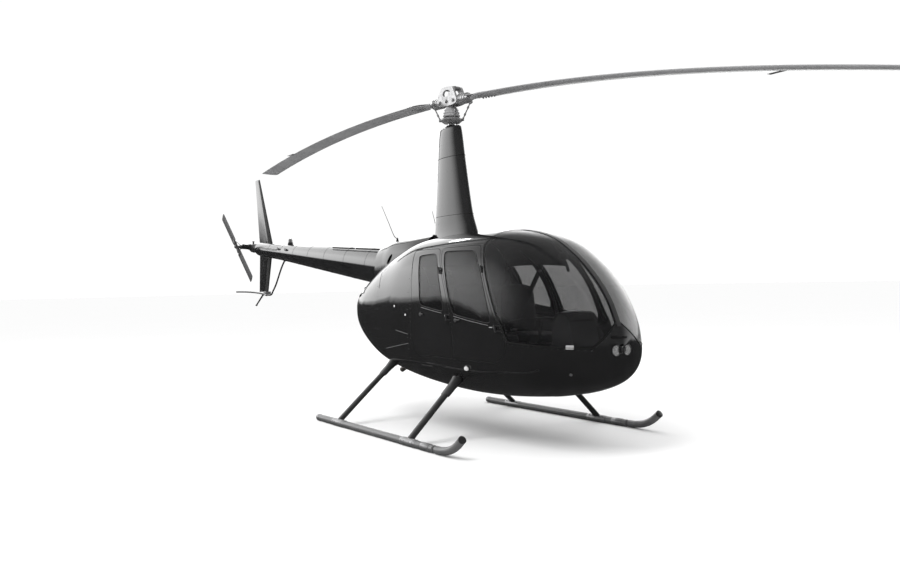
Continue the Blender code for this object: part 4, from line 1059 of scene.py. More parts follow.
def ridge_solid(table):
    """The ridge as a solid, for trimming what stands on it."""
    def place(u, v):
        x, half, top = spline(table, v * (len(table) - 1))
        angle = math.pi * u
        across, up = math.cos(angle), math.sin(angle)
        return Vector((x, half * math.copysign(abs(across) ** 0.6, across), RIDGE_FOOT + (top - RIDGE_FOOT) * max(0.0, up) ** 0.6))

    shape = skin(48, 24, place, wrap=False)
    return capped(shape)


def build_tail_cone():
    """The tapered cone with its lap seams, rivets, drive cover strips and rear clamps."""
    cone = capped(skin(72, 60, lambda u, v: cone_point(CONE[0][0] + (CONE[2][0] - CONE[0][0]) * v, 2 * math.pi * u)))
    piece("cone_skin", cone, "tail_black", stands_for=["tail_cone"], angle=40)
    seams = (-1.60, -2.218, -2.847, -3.410, -3.96, -4.47, -4.98)
    bands, rivets, ways = [], [], []
    for x in seams:
        band = skin(72, 1, lambda u, v: cone_point(x - 0.030 * v, 2 * math.pi * u, 0.0009))
        bmesh.ops.solidify(band, geom=band.faces[:], thickness=0.0008)
        bands.append(band)
        for k in range(40):
            angle = 2 * math.pi * k / 40
            for offset in (-0.008, -0.022):
                rivets.append(cone_point(x + offset, angle, 0.0008))
                ways.append(Vector((0.03, -math.sin(angle), math.cos(angle))))
    for k in range(140):
        x = -1.36 - 0.0295 * k
        for angle in (math.pi * 0.93, math.pi * 1.07):
            rivets.append(cone_point(x, angle, 0.0002))
            ways.append(Vector((0.03, -math.sin(angle), math.cos(angle))))
    piece("cone_laps", joined(bands), "tail_black", merge=0)
    piece("cone_rivets", cloud_of(rivets, ways, 0.0028), "tail_black", merge=0)
    strips = []
    for x_low, x_high in ((-2.736, -2.10), (-2.05, -1.376)):
        strips.append(tube([cone_point(x_low + (x_high - x_low) * k / 12, 0.50, 0.003) for k in range(13)], 0.0045, 8, 0.010, Y))
    piece("cone_cover_strips", joined(strips), "trim_black", merge=0)
    clamps = []
    for x in (-4.551, -4.234):
        angle = 1.15
        here = cone_point(x, angle)
        out_way = Vector((0, -math.sin(angle), math.cos(angle)))
        clamps.append(bar(here - out_way * 0.004, here + out_way * 0.012, 0.020, 0.014, 20, 0.002))
        clamps.append(block(here + out_way * 0.012 + Vector((-0.030, -0.010, -0.012)), here + out_way * 0.012 + Vector((0.030, 0.010, 0.012)), 0.003))
        clamps.append(bar(here + out_way * 0.02 + Vector((0, 0, -0.016)), here + out_way * 0.02 + Vector((0, 0, 0.020)), 0.006, None, 12, 0.001))
    piece("cone_clamps", joined(clamps), "sleeve_grey", merge=0)
    cables = []
    for angle in (1.22, 1.36):
        run = [cone_point(x, angle, 0.006) for x in np.linspace(-4.62, -5.50, 14)]
        cables.append(tube(run, 0.0035, 8))
    piece("guard_brace_lines", joined(cables), "dark_metal", merge=0)
    top = cone_axis(BEACON_X) + cone_radius(BEACON_X)
    foot = turned(((-0.012, 0.0), (-0.012, 0.046), (0.004, 0.044), (0.012, 0.036), (0.030, 0.035), (0.032, 0.0)), (BEACON_X, 0, top), Z, 32)
    piece("beacon_foot", foot, "satin_black")
    lens = turned(((0.030, 0.0), (0.030, 0.0325), (0.046, 0.0325), (0.048, 0.031), (0.058, 0.031), (0.068, 0.0290), (0.078, 0.022), (0.084, 0.012), (0.086, 0.0)), (BEACON_X, 0, top), Z, 32)
    piece("beacon_lens", lens, "beacon_lens", stands_for=["beacon_light"])
    core = turned(((0.030, 0.0), (0.030, 0.012), (0.060, 0.010), (0.066, 0.004), (0.067, 0.0)), (BEACON_X, 0, top), Z, 16)
    piece("beacon_core", core, "lamp_silver")
    collars = []
    for name, base, tip in (
        ("right", (-1.060, -0.075, 1.870), (-1.415, -0.075, 2.325)), ("left", (-0.480, 0.120, 1.880), (-0.615, 0.120, 2.205)),
    ):
        base, tip = Vector(base), Vector(tip)
        bend = [base + Vector((0, 0, 0.0)), base + Vector((-0.004, 0, 0.055)), base.lerp(tip, 0.22), base.lerp(tip, 0.6), tip]
        rod = tube(curved(bend, 8), [0.0055 - 0.003 * k / 32 for k in range(33)], 10)
        piece(f"whip_aerial_{name}", rod, "satin_black", stands_for=[f"whip_antenna_{name}"])
        collars.append(turned(((-0.012, 0.0), (-0.012, 0.026), (0.006, 0.025), (0.022, 0.016), (0.046, 0.010), (0.060, 0.0085), (0.061, 0.0)), base + Vector((0, 0, 0.010)), Z, 24))
    piece("aerial_feet", joined(collars), "satin_black", merge=0)


def aerofoil(chord, thickness, sides=40, camber=0.0):
    """A wing section as (along, up) points, leading edge at +half the chord."""
    ring = []
    for i in range(sides):
        angle = 2 * math.pi * i / sides
        along = 0.5 * math.cos(angle)
        depth = 0.5 - along
        swell = 5 * (0.2969 * math.sqrt(depth) - 0.126 * depth - 0.3516 * depth ** 2 + 0.2843 * depth ** 3 - 0.1036 * depth ** 4)
        swell = max(swell, 0.012)
        ring.append((chord * along, thickness * swell * math.copysign(1.0, math.sin(angle)) * (abs(math.sin(angle)) > 0.001) + camber * depth * (1 - depth)))
    return ring


def fin_shape(root, tip, root_chord, tip_chord, thickness, spans=16, sides=40, forward=X):
    """A tapering fin between the middles of its root and tip chords."""
    root, tip = Vector(root), Vector(tip)
    across = (tip - root).cross(forward).normalized()

    def place(u, v):
        chord = root_chord + (tip_chord - root_chord) * v
        along, up = aerofoil(chord, thickness * chord / root_chord, sides)[round(u * sides) % sides]
        return root.lerp(tip, v) + forward * along + across * up

    return capped(skin(sides, spans, place))


def build_fins():
    """The two fins, the stabilizer, the striped guard, the skid under it and the gearbox."""
    cone_form = cutter("cone_form_fins", capped(skin(48, 1, lambda u, v: cone_point(-5.0 - 0.559 * v, 2 * math.pi * u, 0.0003))))
    box_form = cutter("gearbox_form", bar((-5.55, 0, 2.01), (-6.05, 0, 2.056), 0.064, sides=32))
    root, tip = Vector((-5.650, FIN_Y, 2.0594)), Vector((-5.980, FIN_Y, 3.130))
    low_root, low_tip = Vector((-5.650, FIN_Y, 2.059)), Vector((-5.800, FIN_Y, 1.345))
    for name, node_name, start, end, chord, end_chord in (
        ("upper_fin_skin", "upper_fin", root, tip, 0.560, 0.200), ("lower_fin_skin", "lower_fin", low_root, low_tip, 0.560, 0.385),
    ):
        fin = mesh_object(name, fin_shape(start, end, chord, end_chord, 0.034))
        carve(fin, cuts=[cone_form, box_form])
        finish(fin, "tail_black", "airframe", [node_name], 35)
        rivets, ways = [], []
        across = (end - start).cross(X).normalized()
        for k in range(3, 40):
            v = k / 40
            here = start.lerp(end, v)
            wide = chord + (end_chord - chord) * v
            for share in (-0.30, 0.20, 0.31):
                ring = aerofoil(wide, 0.034 * wide / chord, 80)
                near = min(ring, key=lambda p: abs(p[0] - share * wide) + (p[1] < 0) * 9)
                for flip in (-1, 1):
                    rivets.append(here + X * near[0] + across * near[1] * flip)
                    ways.append(across * flip)
        piece(f"{node_name}_rivets", cloud_of(rivets, ways, 0.0026), "tail_black", merge=0)
        shape = bmesh.new()
        steps = 14
        bmesh.ops.create_grid(shape, x_segments=steps, y_segments=12, size=0.5)
        for vert in shape.verts:
            u, v = vert.co.x + 0.5, 0.03 + 0.96 * (vert.co.y + 0.5)
            wide = chord + (end_chord - chord) * v
            angle = (u - 0.5) * 2.1
            along = 0.5 * math.cos(angle)
            depth = 0.5 - along
            swell = 5 * (0.2969 * math.sqrt(depth) - 0.126 * depth - 0.3516 * depth ** 2 + 0.2843 * depth ** 3 - 0.1036 * depth ** 4)
            up = 0.034 * wide / chord * swell * math.copysign(1.0, angle) if abs(angle) > 0.001 else 0.0
            vert.co = start.lerp(end, v) + X * (wide * along + 0.0008) + across * (up * 1.02 + math.copysign(0.0006, angle) * (abs(angle) > 0.2))
        bmesh.ops.solidify(shape, geom=shape.faces[:], thickness=0.0008)
        edge = mesh_object(f"{node_name}_edge_band", shape)
        carve(edge, cuts=[cone_form, box_form])
        finish(edge, "trim_black", "airframe", (), 50)
    z = cone_axis(STABILIZER_X)
    plane = mesh_object("stabilizer_skin", fin_shape((STABILIZER_X, 0.0, z), (STABILIZER_X, 1.085, z), 0.280, 0.264, 0.030, forward=X))
    ring_form = cutter("cone_form_stabilizer", capped(skin(48, 1, lambda u, v: cone_point(-4.6 - 0.6 * v, 2 * math.pi * u, 0.0003))))
    carve(plane, cuts=[ring_form])
    finish(plane, "tail_black", "airframe", ["horizontal_stabilizer"], 35)
    rivets, ways = [], []
    for k in range(34):
        y = 0.14 + 0.027 * k
        for share in (-0.32, 0.22):
            for flip in (-1, 1):
                rivets.append(Vector((STABILIZER_X + share * 0.272, y, z + flip * (0.0115 if share > 0 else 0.0056))))
                ways.append(Vector((0, 0, flip)))
    piece("stabilizer_rivets", cloud_of(rivets, ways, 0.0026), "tail_black", merge=0)
    tip_cap = bmesh.new()
    bmesh.ops.create_uvsphere(tip_cap, u_segments=32, v_segments=12, radius=1.0)
    bmesh.ops.scale(tip_cap, vec=(0.134, 0.014, 0.0145), verts=tip_cap.verts)
    bmesh.ops.translate(tip_cap, vec=(STABILIZER_X - 0.001, 1.085, z), verts=tip_cap.verts)
    piece("stabilizer_tip", tip_cap, "trim_black")
    saddle = []
    for x in (STABILIZER_X - 0.075, STABILIZER_X + 0.075):
        for way in (-1, 1):
            saddle.append(block((x - 0.016, 0.100, z + way * 0.017 - 0.003), (x + 0.016, 0.178, z + way * 0.017 + 0.003), 0.0015))
            saddle.append(bar((x, 0.150, z + way * 0.020), (x, 0.150, z + way * 0.026), 0.008, None, 6))
    piece("stabilizer_brackets", joined(saddle), "satin_black", merge=0)
    path = curved(GUARD, 8)
    path[0] += Vector((0.0, 0.0, 0.02))
    marks, lengths = [0.0], 0.0
    for a, b in zip(path[:-1], path[1:]):
        lengths += (b - a).length
        marks.append(lengths)
    guard = tube(path, 0.0122, 16)
    for face in guard.faces:
        centre = face.calc_center_median()
        i = min(range(len(path)), key=lambda k: (path[k] - centre).length)
        face.material_index = int(marks[i] / 0.115) % 2
    piece("guard_tube", guard, ("satin_black", "pale_marking"), stands_for=["tail_rotor_guard"])
    cap = bmesh.new()
    bmesh.ops.create_uvsphere(cap, u_segments=16, v_segments=10, radius=0.0124)
    bmesh.ops.translate(cap, vec=path[-1], verts=cap.verts)
    piece("guard_end_cap", cap, "satin_black")
    fitting = [
        bar((-5.50, 0.058, 1.296), (-5.62, 0.060, 1.312), 0.017, None, 20, 0.002),
        block((-5.60, 0.052, 1.300), (-5.54, 0.142, 1.352), 0.004),
        bar((-5.57, 0.045, 1.320), (-5.57, 0.150, 1.345), 0.006, None, 12, 0.001),
        turned(((-0.010, 0.0), (-0.010, 0.020), (0.008, 0.018), (0.010, 0.0)), GUARD[0], Vector(GUARD[1]) - Vector(GUARD[0]), 20),
    ]
    piece("guard_fittings", joined(fitting), "sleeve_grey", merge=0)
    run = curved(TAIL_SKID, 10)
    piece("tail_skid_tube", tube(run, [0.0142 - 0.003 * k / 20 for k in range(21)], 14), "satin_black", stands_for=["tail_skid"])
    knob = bmesh.new()
    bmesh.ops.create_uvsphere(knob, u_segments=20, v_segments=12, radius=0.019)
    bmesh.ops.scale(knob, vec=(1.3, 0.9, 0.8), verts=knob.verts)
    bmesh.ops.translate(knob, vec=Vector(TAIL_SKID[-1]) + Vector((0.006, 0, 0.004)), verts=knob.verts)
    piece("tail_skid_shoe", knob, "sleeve_grey")
    build_gearbox()


def build_gearbox():
    """The tail gearbox with its flange bolts, cap, sight plug and output sleeve."""
    x0 = CONE[2][0]
    slope = Vector((-1, 0, CONE_RISE)).normalized()
    base = Vector((x0 - 0.0005, 0, cone_axis(x0)))
    case = turned(
        ((0.0, 0.0), (0.0, 0.094), (0.010, 0.094), (0.014, 0.090), (0.022, 0.066), (0.060, 0.056), (0.130, 0.054), (0.170, 0.056),
         (0.215, 0.060), (0.250, 0.066), (0.300, 0.068), (0.345, 0.066), (0.375, 0.058), (0.395, 0.044), (0.405, 0.028), (0.408, 0.0)),
        base, slope, 40,
    )
    piece("gearbox_case", case, "dark_metal", stands_for=["tail_gearbox"])
    bolts, ways = [], []
    for k in range(12):
        angle = 2 * math.pi * k / 12
        bolts.append(base + slope * 0.012 + 0.082 * Vector((0, math.sin(angle), math.cos(angle))))
        ways.append(slope)
    piece("gearbox_bolts", cloud_of(bolts, ways, 0.007, 6, 0.9), "bright_metal", merge=0)
    hub = Vector((TAIL_HUB.x, 0, TAIL_HUB.z))
    parts = [
        turned(((-0.30, 0.0)[::1], (-0.30, 0.0)) and ((0.045, 0.0), (0.045, 0.046), (0.075, 0.046), (0.080, 0.040), (0.110, 0.036), (0.190, 0.031), (0.205, 0.031), (0.2085, 0.027), (0.2085, 0.0)), hub, -Y, 32),
        turned(((0.040, 0.0), (0.040, 0.030), (0.074, 0.030), (0.078, 0.022), (0.084, 0.0)), hub, Y, 24),
        turned(((0.050, 0.0), (0.050, 0.012), (0.078, 0.012), (0.082, 0.016), (0.092, 0.016), (0.094, 0.0)), hub, Z, 16),
    ]
    piece("gearbox_sleeve", joined(parts), "satin_black", merge=0)
    level = hub + Vector((0.03, -0.055, 0.020))
    rod = [
        tube(curved([level + Vector((0.25, 0.02, 0.01)), level + Vector((0.12, 0.0, 0.008)), level, level + Vector((0.005, -0.09, 0.012)), level + Vector((0.0, -0.125, 0.010))], 6), 0.005, 8),
        block(level + Vector((-0.014, -0.135, 0.000)), level + Vector((0.014, -0.105, 0.022)), 0.003),
    ]
    piece("tail_pitch_lever", joined(rod), "dark_metal", merge=0)


def build_tail_rotor():
    """The two banded blades with their grips, the yoke, the pitch links and the hub's nut."""
    lean, tip = math.radians(44.0), math.radians(-3.0)
    up = Vector((-math.cos(lean) * math.cos(tip), math.sin(tip), math.sin(lean) * math.cos(tip)))
    chordwise = Vector((math.sin(lean), 0.0, math.cos(lean)))
    flat = up.cross(chordwise).normalized()
    for name, node_name, way in (("banded_blade_upper", "tail_blade_upper", 1), ("banded_blade_lower", "tail_blade_lower", -1)):
        root = TAIL_HUB + up * way * 0.125
        end = TAIL_HUB + up * way * (TAIL_RADIUS - 0.001)
        shape = fin_shape(root, end, 0.128, 0.128, 0.0155, 48, 36, chordwise * way)
        for face in shape.faces:
            share = (face.calc_center_median() - root).dot(up * way) / (TAIL_RADIUS - 0.125)
            face.material_index = 0 if share < 0.14 else (1 if int((share - 0.14) / 0.107) % 2 == 0 else 2)
        piece(name, shape, ("dark_metal", "blade_pale", "blade_grey"), "tail_rotor", [node_name], 30)
    parts = []
    for way in (-1, 1):
        start = TAIL_HUB + up * way * 0.050
        grip = [start + up * way * 0.022 * k for k in range(7)]
        parts.append(tube(grip, [0.020, 0.024, 0.023, 0.019, 0.016, 0.013, 0.011], 16, 0.033, chordwise))
        for k in range(3):
            spot = start + up * way * (0.075 + 0.024 * k)
            parts.append(bar(spot - flat * 0.014, spot + flat * 0.014, 0.006, None, 6))
        parts.append(bar(TAIL_HUB + up * way * 0.060 - chordwise * 0.04, TAIL_HUB + up * way * 0.060 + chordwise * 0.04, 0.008, None, 12, 0.001))
    parts.append(tube([TAIL_HUB - up * 0.062, TAIL_HUB - up * 0.03, TAIL_HUB, TAIL_HUB + up * 0.03, TAIL_HUB + up * 0.062], [0.018, 0.021, 0.024, 0.021, 0.018], 16, 0.030, chordwise))
    parts.append(turned(((-0.108, 0.0), (-0.108, 0.018), (0.004, 0.018), (0.006, 0.026), (0.022, 0.026), (0.024, 0.012), (0.040, 0.012), (0.042, 0.0)), TAIL_HUB, -Y, 24))
    piece("tail_hub_yoke", joined(parts), "dark_metal", "tail_rotor", ["tail_rotor_hub"], merge=0)
    links = []
    for way in (-1, 1):
        horn = TAIL_HUB + up * way * 0.075 + chordwise * 0.046 * way
        slider = TAIL_HUB + Y * 0.062 + chordwise * 0.034 * way
        links.append(bar(slider, horn, 0.0035, None, 10))
        for end in (slider, horn):
            ball = bmesh.new()
            bmesh.ops.create_uvsphere(ball, u_segments=12, v_segments=8, radius=0.008)
            bmesh.ops.translate(ball, vec=end, verts=ball.verts)
            links.append(ball)
        links.append(bar(horn, TAIL_HUB + up * way * 0.075, 0.006, None, 10))
    links.append(turned(((0.046, 0.0), (0.046, 0.040), (0.052, 0.042), (0.060, 0.040), (0.062, 0.0)), TAIL_HUB, Y, 28))
    piece("tail_pitch_links", joined(links), "bright_metal", "tail_rotor", merge=0)


def blade_height(r, forward):
    return HUB_Z - BLADE_DROOP * r * r - forward * TEETER_DROP * r / ROTOR_RADIUS


def build_main_rotor():
    """The drooping blades with their root fittings, the hub, the links and the swashplate."""
    for name, node_name, forward in (("main_blade_skin_front", "main_blade_front", 1), ("main_blade_skin_rear", "main_blade_rear", -1)):
        rows = [list(row) for row in BLADE_ROWS]

        def place(u, v):
            r = BLADE_ROWS[0][0] + (ROTOR_RADIUS - 0.0005 - BLADE_ROWS[0][0]) * v ** 1.25
            chord, thick = (float(np.interp(r, [row[0] for row in rows], [row[k] for row in rows])) for k in (1, 2))
            along, up = aerofoil(chord, thick, 40)[round(u * 40) % 40]
            return Vector((forward * r, -forward * (along - 0.03), blade_height(r, forward) + up))

        shape = capped(skin(40, 110, place))
        for face in shape.faces:
            centre = face.calc_center_median()
            nose = -forward * centre.y + 0.03 > 0.098
            face.material_index = 1 if nose and abs(centre.x) > 0.6 else (2 if abs(centre.x) > ROTOR_RADIUS - 0.045 else 0)
        made = piece(name, shape, ("blade_grey", "blade_edge", "satin_black"), "main_rotor", [node_name], 35)
        made.data.update()
        cuffs = []
        for side_way in (-1, 1):
            run = []
            for r in (0.300, 0.380, 0.470, 0.560, 0.640, 0.700):
                wide = 0.030 + 0.055 * min(1.0, max(0.0, (r - 0.33) / 0.2))
                run.append(Vector((forward * r, side_way * wide + forward * 0.03 * (r > 0.4), blade_height(r, forward) + 0.013)))
            cuffs.append(tube(run, [0.006, 0.0065, 0.006, 0.005, 0.004, 0.002], 10, 0.016, Y))
        for r in np.linspace(0.47, 0.66, 5):
            for y in (-0.045, 0.0, 0.045):
                here = Vector((forward * r, y + forward * 0.03, blade_height(r, forward)))
                cuffs.append(bar(here - Z * 0.021, here + Z * 0.021, 0.009, None, 6))
        piece(f"blade_cuff_{node_name[11:]}", joined(cuffs), "hub_metal", "main_rotor", merge=0)
        trim = block((-0.11, -0.020, -0.0008), (0.11, 0.020, 0.0008), 0.0004)
        bmesh.ops.translate(trim, vec=(forward * 3.85, forward * 0.172, blade_height(3.85, forward)), verts=trim.verts)
        piece(f"trim_tab_{node_name[11:]}", trim, "blade_edge", "main_rotor")
    build_hub()


def build_hub():
    slope = TEETER_DROP / ROTOR_RADIUS
    tilt = Matrix.Rotation(math.atan(slope), 4, "Y")
    centre = Matrix.Translation((0, 0, HUB_Z))
    core = []
    side_view = (
        (-0.185, -0.036), (-0.090, -0.052), (0.090, -0.052), (0.185, -0.036), (0.195, 0.000), (0.165, 0.040), (0.128, 0.105),
        (0.098, 0.143), (-0.098, 0.143), (-0.128, 0.105), (-0.165, 0.040), (-0.195, 0.000),
    )
    window = [(-0.075, 0.045), (0.075, 0.045), (0.062, 0.112), (-0.062, 0.112)]
    for way in (-1, 1):
        cheek = mesh_object("cheek", plate(rounded(side_view, 3, 0.25), "Y", way * 0.040, way * 0.062), workshop)
        carve(cheek, cuts=[cutter("cheek_window", plate(rounded(window, 3, 0.3), "Y", way * 0.02, way * 0.08))])
        shape = bmesh.new()
        shape.from_mesh(cheek.data)
        core.append(shape)
    core.append(block((-0.094, -0.044, 0.112), (0.094, 0.044, 0.142), 0.008))
    core.append(block((-0.060, -0.042, -0.040), (0.060, 0.042, 0.030), 0.010))
    for x in (-0.125, 0.0, 0.125):
        core.append(bar((x, -0.070, -0.006), (x, 0.070, -0.006), 0.019, None, 28, 0.002))
        for way in (-1, 1):
            core.append(bar((x, way * 0.070, -0.006), (x, way * 0.079, -0.006), 0.013, None, 6))
    for x in (-0.070, 0.070):
        core.append(bar((x, 0.0, 0.140), (x, 0.0, 0.146), 0.010, None, 6))
    whole = joined(core)
    bmesh.ops.transform(whole, matrix=centre @ tilt, verts=whole.verts)
    piece("teetering_hub", whole, "hub_metal", "main_rotor", ["rotor_hub"], merge=0)
    grips = []
    for way in (-1, 1):
        run = [Vector((way * r, 0, blade_height(r, way))) for r in (0.100, 0.140, 0.190, 0.240, 0.290, 0.330, 0.360)]
        grips.append(tube(run, [0.034, 0.044, 0.050, 0.052, 0.046, 0.038, 0.030], 24, 0.052, Y))
        for r in (0.170, 0.215, 0.262, 0.305):
            here = Vector((way * r, 0, blade_height(r, way)))
            grips.append(tube([here - X * 0.006, here, here + X * 0.006], [0.052, 0.055, 0.052], 24, 0.056, Y))
        horn_root = Vector((way * 0.250, way * 0.030, blade_height(0.25, way) - 0.01))
        horn_tip = Vector((way * 0.120, way * 0.150, HUB_Z - 0.020))
        grips.append(tube(curved([horn_root, horn_root + Vector((-way * 0.02, way * 0.07, -0.004)), horn_tip], 6), 0.010, 12, 0.018, Z))
    piece("blade_grips", joined(grips), "hub_metal", "main_rotor", merge=0)
    shaft = turned(
        ((2.96, 0.0), (2.96, 0.036), (3.030, 0.036), (3.034, 0.042), (3.052, 0.042), (3.056, 0.036), (3.150, 0.036), (3.154, 0.044),
         (3.170, 0.044), (3.180, 0.036), (3.236, 0.034), (3.252, 0.026), (3.258, 0.024), (3.2585, 0.0)), (0, 0, 0), Z, 32)
    piece("mast_shaft", shaft, "bright_metal", "main_rotor", ["rotor_mast"])
    boot = turned(
        ((0.032, 0.040), (0.034, 0.082), (0.044, 0.090), (0.054, 0.082), (0.062, 0.076), (0.074, 0.084), (0.084, 0.074), (0.092, 0.068),
         (0.104, 0.074), (0.114, 0.064), (0.124, 0.056), (0.134, 0.050), (0.140, 0.037)), (0, 0, SWASH_Z), Z, 40)
    bmesh.ops.holes_fill(boot, edges=[edge for edge in boot.edges if edge.is_boundary], sides=0)
    piece("swash_boot", boot, "boot_grey", "main_rotor")
    lower = turned(
        ((-0.030, 0.040), (-0.030, 0.084), (-0.026, 0.088), (-0.006, 0.112), (0.000, 0.114), (0.010, 0.114), (0.014, 0.110), (0.018, 0.080), (0.030, 0.070), (0.034, 0.040)),
        (0, 0, SWASH_Z), Z, 40)
    bmesh.ops.holes_fill(lower, edges=[edge for edge in lower.edges if edge.is_boundary], sides=0)
    ears, links = [lower], []
    for k in range(4):
        angle = math.pi / 4 + k * math.pi / 2
        out_way = Vector((math.cos(angle), math.sin(angle), 0))
        ears.append(bar(Vector((0, 0, SWASH_Z)) + out_way * 0.09, Vector((0, 0, SWASH_Z)) + out_way * 0.132, 0.014, 0.011, 16, 0.002))
    boot = turned(
        ((0.030, 0.042), (0.030, 0.062), (0.036, 0.066), (0.042, 0.058), (0.048, 0.064), (0.054, 0.056), (0.060, 0.060), (0.066, 0.050), (0.070, 0.042)),
        (0, 0, SWASH_Z), Z, 32)
    ears.append(boot)
    piece("swash_rings", joined(ears), "hub_metal", "main_rotor", ["swashplate"], merge=0)
    for way in (-1, 1):
        low = Vector((way * 0.085, way * 0.085, SWASH_Z + 0.010))
        high = Vector((way * 0.120, way * 0.150, HUB_Z - 0.024))
        links.append(bar(low, high, 0.0065, None, 14))
        for share in (0.0, 0.28, 0.72, 1.0):
            spot = low.lerp(high, share)
            links.append(bar(spot - (high - low).normalized() * 0.011, spot + (high - low).normalized() * 0.011, 0.011, None, 6 if 0 < share < 1 else 16, 0.001))
        knee = Vector((-way * 0.115, way * 0.02, SWASH_Z + 0.085))
        links.append(bar((-way * 0.070, way * 0.01, SWASH_Z + 0.020), knee, 0.009, 0.007, 12, 0.001))
        links.append(bar(knee, (-way * 0.042, 0, SWASH_Z + 0.135), 0.007, 0.009, 12, 0.001))
        links.append(bar(knee + Vector((0, -0.018, 0)), knee + Vector((0, 0.018, 0)), 0.009, None, 14, 0.001))
    links.append(turned(((0.120, 0.037), (0.120, 0.050), (0.126, 0.052), (0.146, 0.052), (0.150, 0.048), (0.150, 0.037)), (0, 0, SWASH_Z), Z, 32))
    piece("pitch_links", joined(links), "hub_metal", "main_rotor", merge=0)
    servo = []
    for x, y in ((0.055, -0.020), (-0.065, 0.012), (0.010, 0.030)):
        servo.append(bar((x, y, 3.005), (x * 1.35, y * 1.6, SWASH_Z - 0.026), 0.006, None, 12))
    piece("control_rods", joined(servo), "sleeve_grey", merge=0)
    collar = turned(((3.006, 0.042), (3.006, 0.056), (3.022, 0.058), (3.030, 0.052), (3.032, 0.042)), (0, 0, 0), Z, 32)
    piece("mast_collar", collar, "trim_black")


def build_landing_gear():
    """Streamlined cross-tube legs, their boots and saddles, and the skids with shoes and sleeves."""
    for name, x, half, node_name in (("front_leg_tube", FRONT_TUBE_X, FRONT_TUBE, "front_cross_tube"), ("rear_leg_tube", REAR_TUBE_X, REAR_TUBE, "rear_cross_tube")):
        path = curved([(x, y, z) for y, z in half] + [(x, -y, z) for y, z in half[::-1]], 8)
        piece(name, tube(path, 0.0228, 24, 0.0438, X), "satin_black", stands_for=[node_name])
        boots, saddles, bolts, ways = [], [], [], []
        for way in (-1, 1):
            foot, knee = Vector((x, half[1][0] * -way * -1, half[1][1])), Vector((x, half[2][0], half[2][1]))
            foot.y, knee.y = way * abs(half[1][0]), way * abs(half[2][0])
            slope = (knee - foot).normalized()
            near = foot + slope * 0.01
            saddles.append(tube([near - slope * 0.055, near - slope * 0.03, near + slope * 0.03, near + slope * 0.085, near + slope * 0.12], [0.030, 0.031, 0.027, 0.0245, 0.0235], 24, 0.050, X))
            saddles.append(tube(
                [(x + dx, way * SKID_Y, SKID_Z) for dx in (-0.130, -0.118, -0.07, 0.07, 0.118, 0.130)],
                [0.0345, 0.0375, 0.039, 0.039, 0.0375, 0.0345], 28))
            high = knee - slope * 0.035
            boots.append(tube([high - slope * 0.10, high - slope * 0.08, high, high + slope * 0.05, high + slope * 0.09], [0.0240, 0.0275, 0.030, 0.038, 0.050], 28, 0.062, X))
            for dx in (-0.095, -0.045, 0.045, 0.095):
                bolts.append(Vector((x + dx, way * (SKID_Y - 0.028), SKID_Z + 0.028)))
                ways.append(Vector((0, -way, 1)))
                bolts.append(Vector((x + dx, way * (SKID_Y + 0.036), SKID_Z + 0.012)))
                ways.append(Vector((0, way, 0.3)))
        made = mesh_object(name + "_saddles", joined(saddles))
        carve(made, cuts=[GROUND])
        finish(made, "sleeve_grey", "airframe", (), 40)
        piece(name + "_boots", joined(boots), "satin_black", merge=0)
        piece(name + "_bolts", cloud_of(bolts, ways, 0.0075, 6, 0.9), "dark_metal", merge=0)
    for way, side in ((-1, "right"), (1, "left")):
        path = curved([(x, way * SKID_Y, z) for x, z in SKID_PATH], 8)
        runner = mesh_object(f"skid_runner_{side}", tube(path, SKID_RADIUS, 32))
        carve(runner, cuts=[GROUND])
        finish(runner, "skid_grey", "airframe", [f"skid_{side}"], 40)
        soften(runner, 0.002, 2, 60)
        sleeves = [
            tube([(x, way * SKID_Y, SKID_Z) for x in (1.135, 1.139, 1.265, 1.269)], [0.0345, 0.0365, 0.0365, 0.0345], 32),
            tube([(x, way * SKID_Y, SKID_Z) for x in (-1.019, -1.012, -0.985, -0.981)], [0.030, 0.0350, 0.0355, 0.0345], 32),
        ]
        made = mesh_object(f"skid_sleeves_{side}", joined(sleeves))
        carve(made, cuts=[GROUND])
        finish(made, "sleeve_grey", "airframe", (), 40)
        end = path[-1]
        slope = (path[-1] - path[-2]).normalized()
        cap = turned(((-0.012, 0.0), (-0.012, 0.0345), (0.000, 0.0345), (0.001, 0.033), (0.0012, 0.0)), end, slope, 32)
        piece(f"skid_toe_cap_{side}", cap, "satin_black")
        shoes = []
        for x_low, x_high in ((-0.92, -0.66), (-0.36, 0.30), (0.42, 0.76), (1.05, 1.34)):
            shoes.append(block((x_low, way * SKID_Y - 0.016, 0.0002), (x_high, way * SKID_Y + 0.016, 0.006), 0.0015))
        piece(f"skid_shoes_{side}", joined(shoes), "sleeve_grey", merge=0)


def on_nose(y, z, inset=0.0):
    """The point of the body's front at this y and z."""
    low, high = 0.9, 2.442
    for _ in range(30):
        x = (low + high) / 2
        if body_level(x, y, z) < 1:
            low = x
        else:
            high = x
    point = Vector((low, y, z))
    return point - body_normal(point) * inset


def surface_dash(points, radius, width=None, lift=0.0006):
    """A thin bead along points of the body's skin."""
    run = [Vector(point) + body_normal(point) * lift for point in points]
    return tube(run, radius, 8, width, Z)


